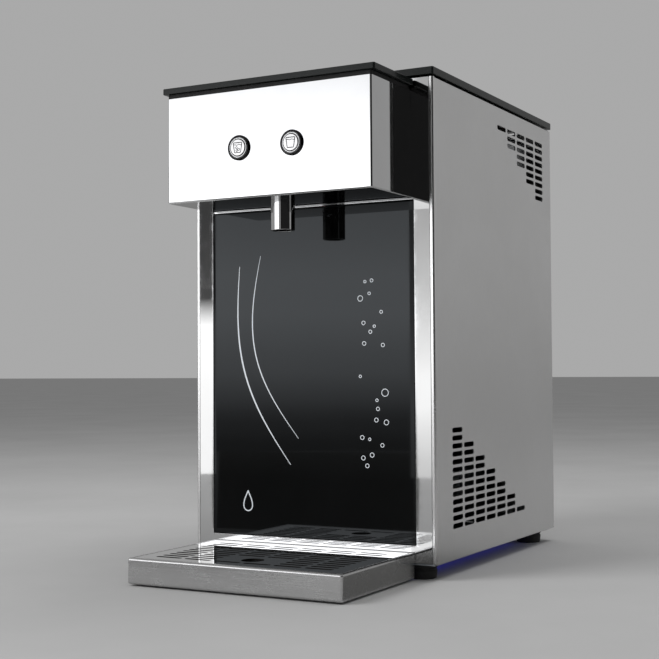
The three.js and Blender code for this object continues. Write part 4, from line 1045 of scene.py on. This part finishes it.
def bulkhead_stub(name):
    """A brass stub: chamfered hexagon, threads on both sides of the panel and a blind bore."""
    (_, y0, z0), (_, y1, z1) = low_high(name)
    x, z = centre_of(name)
    face = low_high("rear_panel")[1][1] + EASE
    corner = (z1 - z0) / math.sqrt(3)
    root = THREAD - THREAD_DEPTH

    def hexagon(offset):
        size = corner + offset
        turns = [math.pi / 3 * i for i in range(6)]
        return [(x + size * math.cos(turn), z + size * math.sin(turn)) for turn in turns]

    def threads(start, end):
        rows = []
        for i in range(int((end - start) / THREAD_PITCH)):
            height = start + i * THREAD_PITCH
            rows += [(root, height), (THREAD, height + THREAD_PITCH / 2)]
        return rows + [(root, end)]

    mesh = bmesh.new()
    formed(mesh, hexagon, plate_rows(face, face + HEXAGON, 0.0008, 2), axis="y")
    inside = [(0, y0), (THREAD - 0.001, y0), *threads(y0 + 0.0005, face), (0, face)]
    turned(mesh, inside, "y", x, z, 48)
    outside = [(0, face + 0.005), (root, face + 0.005), *threads(face + HEXAGON + 0.0005, y1 - 0.001)]
    outside += [(THREAD - 0.001, y1), (STUB_BORE, y1), (STUB_BORE, y1 - STUB_BORE_DEPTH)]
    outside += [(0, y1 - STUB_BORE_DEPTH)]
    turned(mesh, outside, "y", x, z, 48)
    return piece(f"{name}_stub", mesh, "brass", [name])


rear_panel()
rear_screws()
bulkhead_stub("water_inlet")
bulkhead_stub("gas_inlet")

# ---------------------------------------------------------------- feet


def foot(name):
    """A moulded rubber foot with a waist groove and its stud."""
    (x0, y0, z0), (x1, y1, z1) = low_high(name)
    x, y, radius = (x0 + x1) / 2, (y0 + y1) / 2, (x1 - x0) / 2
    top = low_high("base_plate")[0][2] - 0.0003
    profile = softened(
        [
            (0, 0.0015, 0),
            (0.007, 0.0015, 0.0005),
            (0.008, z0, 0.0004),
            (radius - 0.0014, z0, 0.001),
            (radius - 0.0004, top * 0.55, 0.0006),
            (radius - 0.0014, top * 0.68, 0.0006),
            (radius, top * 0.8, 0.0006),
            (radius, top, 0.0005),
            (0.0028, top, 0),
            (0.0028, z1, 0.0005),
            (0, z1, 0),
        ]
    )
    mesh = bmesh.new()
    turned(mesh, profile, "z", x, y, 64)
    return piece(f"{name}_moulding", mesh, "rubber", [name])


for foot_place in ("front_left", "rear_left", "front_right", "rear_right"):
    foot(f"foot_{foot_place}")

# ---------------------------------------------------------------- stage, lights and camera


FLOOR_SIZE = 30
CARD_LIFT = 0.0008  # how far the floor cards lie above the floor
FLOOR_GLOW = (-1.8, -1.1)  # a floor card's glow changes between these y
STAGE_CENTRE = (0, -0.11)
LEFT_STRIP = (-0.128, -0.11)
RIGHT_STRIP = (0.128, -0.11)
TRAY_SIDE = (0.125, 0.32, -0.27, 0.06)  # the patch beside the tray: x0, x1, y0, y1
FOOT_REACH = (0.32, 1.95)  # the patch at the glass's foot, from the glass
FOOT_TURNS = (math.radians(-33.3), math.radians(-24.9))
CAMERA_PLACE = (0.658, -1.276, 0.206)
CAMERA_TILT = 0.0311
CAMERA_ROLL = 0.006
CAMERA_TURN = 0.4988


def stage_material(name, colour, roughness=0.55, emission=None, strength=0.0):
    """A material for the surroundings, plain or black with a glow."""
    shader = Shader(name, colour, roughness)
    if emission is not None:
        shader.surface.inputs["Base Color"].default_value = (0, 0, 0, 1)
        shader.surface.inputs["Specular IOR Level"].default_value = 0
        shader.surface.inputs["Emission Color"].default_value = (*emission, 1)
        shader.surface.inputs["Emission Strength"].default_value = strength
    return shader


def sheet_object(name, corners, faces, material):
    """A flat or folded sheet that belongs to the stage, not to the part."""
    data = bpy.data.meshes.new(name)
    data.from_pydata(corners, [], faces)
    data.materials.append(material)
    obj = bpy.data.objects.new(name, data)
    bpy.context.scene.collection.objects.link(obj)
    return obj


def floor():
    """A plain pale floor with a faint mottle."""
    size = FLOOR_SIZE
    shader = stage_material("floor", grey(0.46))
    shader.surface.inputs["Specular IOR Level"].default_value = 0
    shader.paint("Base Color", shader.tint(shader.noise(3, 4, 0.6), [(0.3, grey(0.44)), (0.7, grey(0.48))]))
    corners = [(-size, -size, 0), (size, -size, 0), (size, size, 0), (-size, size, 0)]
    return sheet_object("floor", corners, [(0, 1, 2, 3)], shader.material)


def coordinate(shader, axis):
    """The output that says where a point is along one axis."""
    split = shader.nodes.new("ShaderNodeSeparateXYZ")
    shader.links.new(shader.place, split.inputs["Vector"])
    return split.outputs[axis]


def reflection_only(obj):
    """Lets only glossy rays see a card."""
    obj.visible_camera = False
    obj.visible_diffuse = False
    obj.visible_shadow = False
    return obj


def card(name, azimuths, distance, heights, levels, colour=(1, 1, 1), centre=STAGE_CENTRE, steps=12):
    """A curved reflector seen only in glossy surfaces.

    Azimuth 0 is straight in front and positive to the right. Its glow passes through levels, which are pairs
    of height and strength.
    """
    z0, z1 = heights
    rows = []
    for i in range(steps + 1):
        angle = math.radians(azimuths[0] + (azimuths[1] - azimuths[0]) * i / steps)
        x, y = centre[0] + distance * math.sin(angle), centre[1] - distance * math.cos(angle)
        rows.append([(x, y, z0), (x, y, z1)])
    corners = [corner for row in rows for corner in row]
    faces = [(2 * i, 2 * i + 2, 2 * i + 3, 2 * i + 1) for i in range(steps)]
    shader = stage_material(name, (0, 0, 0), 1, colour, 1)
    low, high = levels[0][0], levels[-1][0]
    height = shader.span(coordinate(shader, "Z"), 0, 1, (low, high))
    peak = max(strength for _, strength in levels)
    stops = [((z - low) / (high - low), grey(strength / peak)) for z, strength in levels]
    shader.paint("Emission Strength", shader.math("MULTIPLY", shader.tint(height, stops), peak))
    return reflection_only(sheet_object(name, corners, faces, shader.material))


def floor_card(name, outline, strengths):
    """A darker patch of floor seen only in glossy surfaces; strengths are its far and near ends' glow."""
    corners = [(x, y, CARD_LIFT) for x, y in outline]
    shader = stage_material(name, (0, 0, 0), 1, (1, 1, 0.98), strengths[0])
    shader.paint("Emission Strength", shader.span(coordinate(shader, "Y"), *strengths, FLOOR_GLOW))
    return reflection_only(sheet_object(name, corners, [(0, 1, 2, 3)], shader.material))


def cards():
    """What the polished surfaces mirror.

    A softbox on the user's left, darkness behind the camera, a dimmer corner over the head, a low card for
    each polished strip and two darker patches of floor.
    """
    glow = [(0, 0.27), (0.025, 0.31), (0.05, 0.44), (0.075, 0.52), (0.1, 0.75), (0.125, 1.12), (0.15, 1.42)]
    glow += [(0.2, 2.05), (0.25, 2.35), (0.3, 2.75), (0.35, 3.1), (0.45, 3.15), (0.56, 2.7)]
    glow += [(0.72, 2.2), (0.95, 1.4)]
    card("softbox_reflection", (-52, -10), 2.0, (0.0, 1.5), glow, (0.975, 0.98, 1))
    card("camera_side_dark", (8, 96), 1.7, (0.1, 1.7), [(0, 0.015), (1, 0.02)])
    left = [(0.0745, 1.45), (0.265, 1.7), (0.3, 0.09), (0.413, 0.06)]
    card("left_strip_card", (-36.5, -31.6), 0.3, (0.0725, 0.45), left, centre=LEFT_STRIP, steps=2)
    right = [(0.0, 0.9), (0.037, 1.0), (0.135, 1.5), (0.197, 1.5), (0.308, 1.05), (0.372, 0.85), (0.52, 0.6)]
    card("right_strip_card", (-25.7, -22.8), 1.2, (0.001, 0.52), right, centre=RIGHT_STRIP, steps=2)
    card("corner_dim", (-21.5, -12), 1.85, (0.78, 1.4), [(0, 0.6), (1, 0.6)])
    left, right, near, far = TRAY_SIDE
    floor_card("tray_side_dark", [(left, near), (right, near), (right, far), (left, far)], (0.11, 0.11))
    (x0, y0, _), (x1, _, _) = low_high("glass_panel")
    lines = zip((x0 + 0.001, x1 - 0.001), FOOT_TURNS)
    reach = [[(x + d * math.sin(turn), y0 - d * math.cos(turn)) for d in FOOT_REACH] for x, turn in lines]
    floor_card("glass_foot_dark", [reach[0][1], reach[1][1], reach[1][0], reach[0][0]], (0.26, 0.13))


def area(name, place, target, size, power):
    """A rectangular light that no camera or glossy ray sees."""
    data = bpy.data.lights.new(name, "AREA")
    data.shape = "RECTANGLE"
    data.size, data.size_y = size
    data.energy = power
    obj = bpy.data.objects.new(name, data)
    obj.location = place
    direction = Vector(target) - Vector(place)
    obj.rotation_euler = direction.to_track_quat("-Z", "Y").to_euler()
    obj.visible_camera = False
    obj.visible_glossy = False
    bpy.context.scene.collection.objects.link(obj)
    return obj


def lights():
    """A key light on the front and a broad light from above."""
    area("key", (-1.2, -1.6, 1.7), (0, 0, 0.2), (1.2, 1.2), 30)
    area("top", (0.4, 0.5, 2.2), (0, 0, 0.2), (1.6, 1.6), 18)


def world():
    """An even grey studio."""
    scene_world = bpy.data.worlds.new("studio")
    scene_world.use_nodes = True
    background = scene_world.node_tree.nodes["Background"]
    background.inputs["Color"].default_value = (0.4, 0.4, 0.4, 1)
    background.inputs["Strength"].default_value = 1.0
    bpy.context.scene.world = scene_world
    bpy.context.scene.view_settings.view_transform = "Standard"


def camera():
    """The photo's camera, solved from the cabinet's straight edges."""
    data = bpy.data.cameras.new("camera")
    data.sensor_width = 36
    data.lens = 71.3
    data.clip_end = 100
    obj = bpy.data.objects.new("camera", data)
    obj.location = CAMERA_PLACE
    obj.rotation_euler = (math.pi / 2 + CAMERA_TILT, CAMERA_ROLL, CAMERA_TURN)
    bpy.context.scene.collection.objects.link(obj)
    bpy.context.scene.camera = obj


floor()
cards()
lights()
world()
camera()
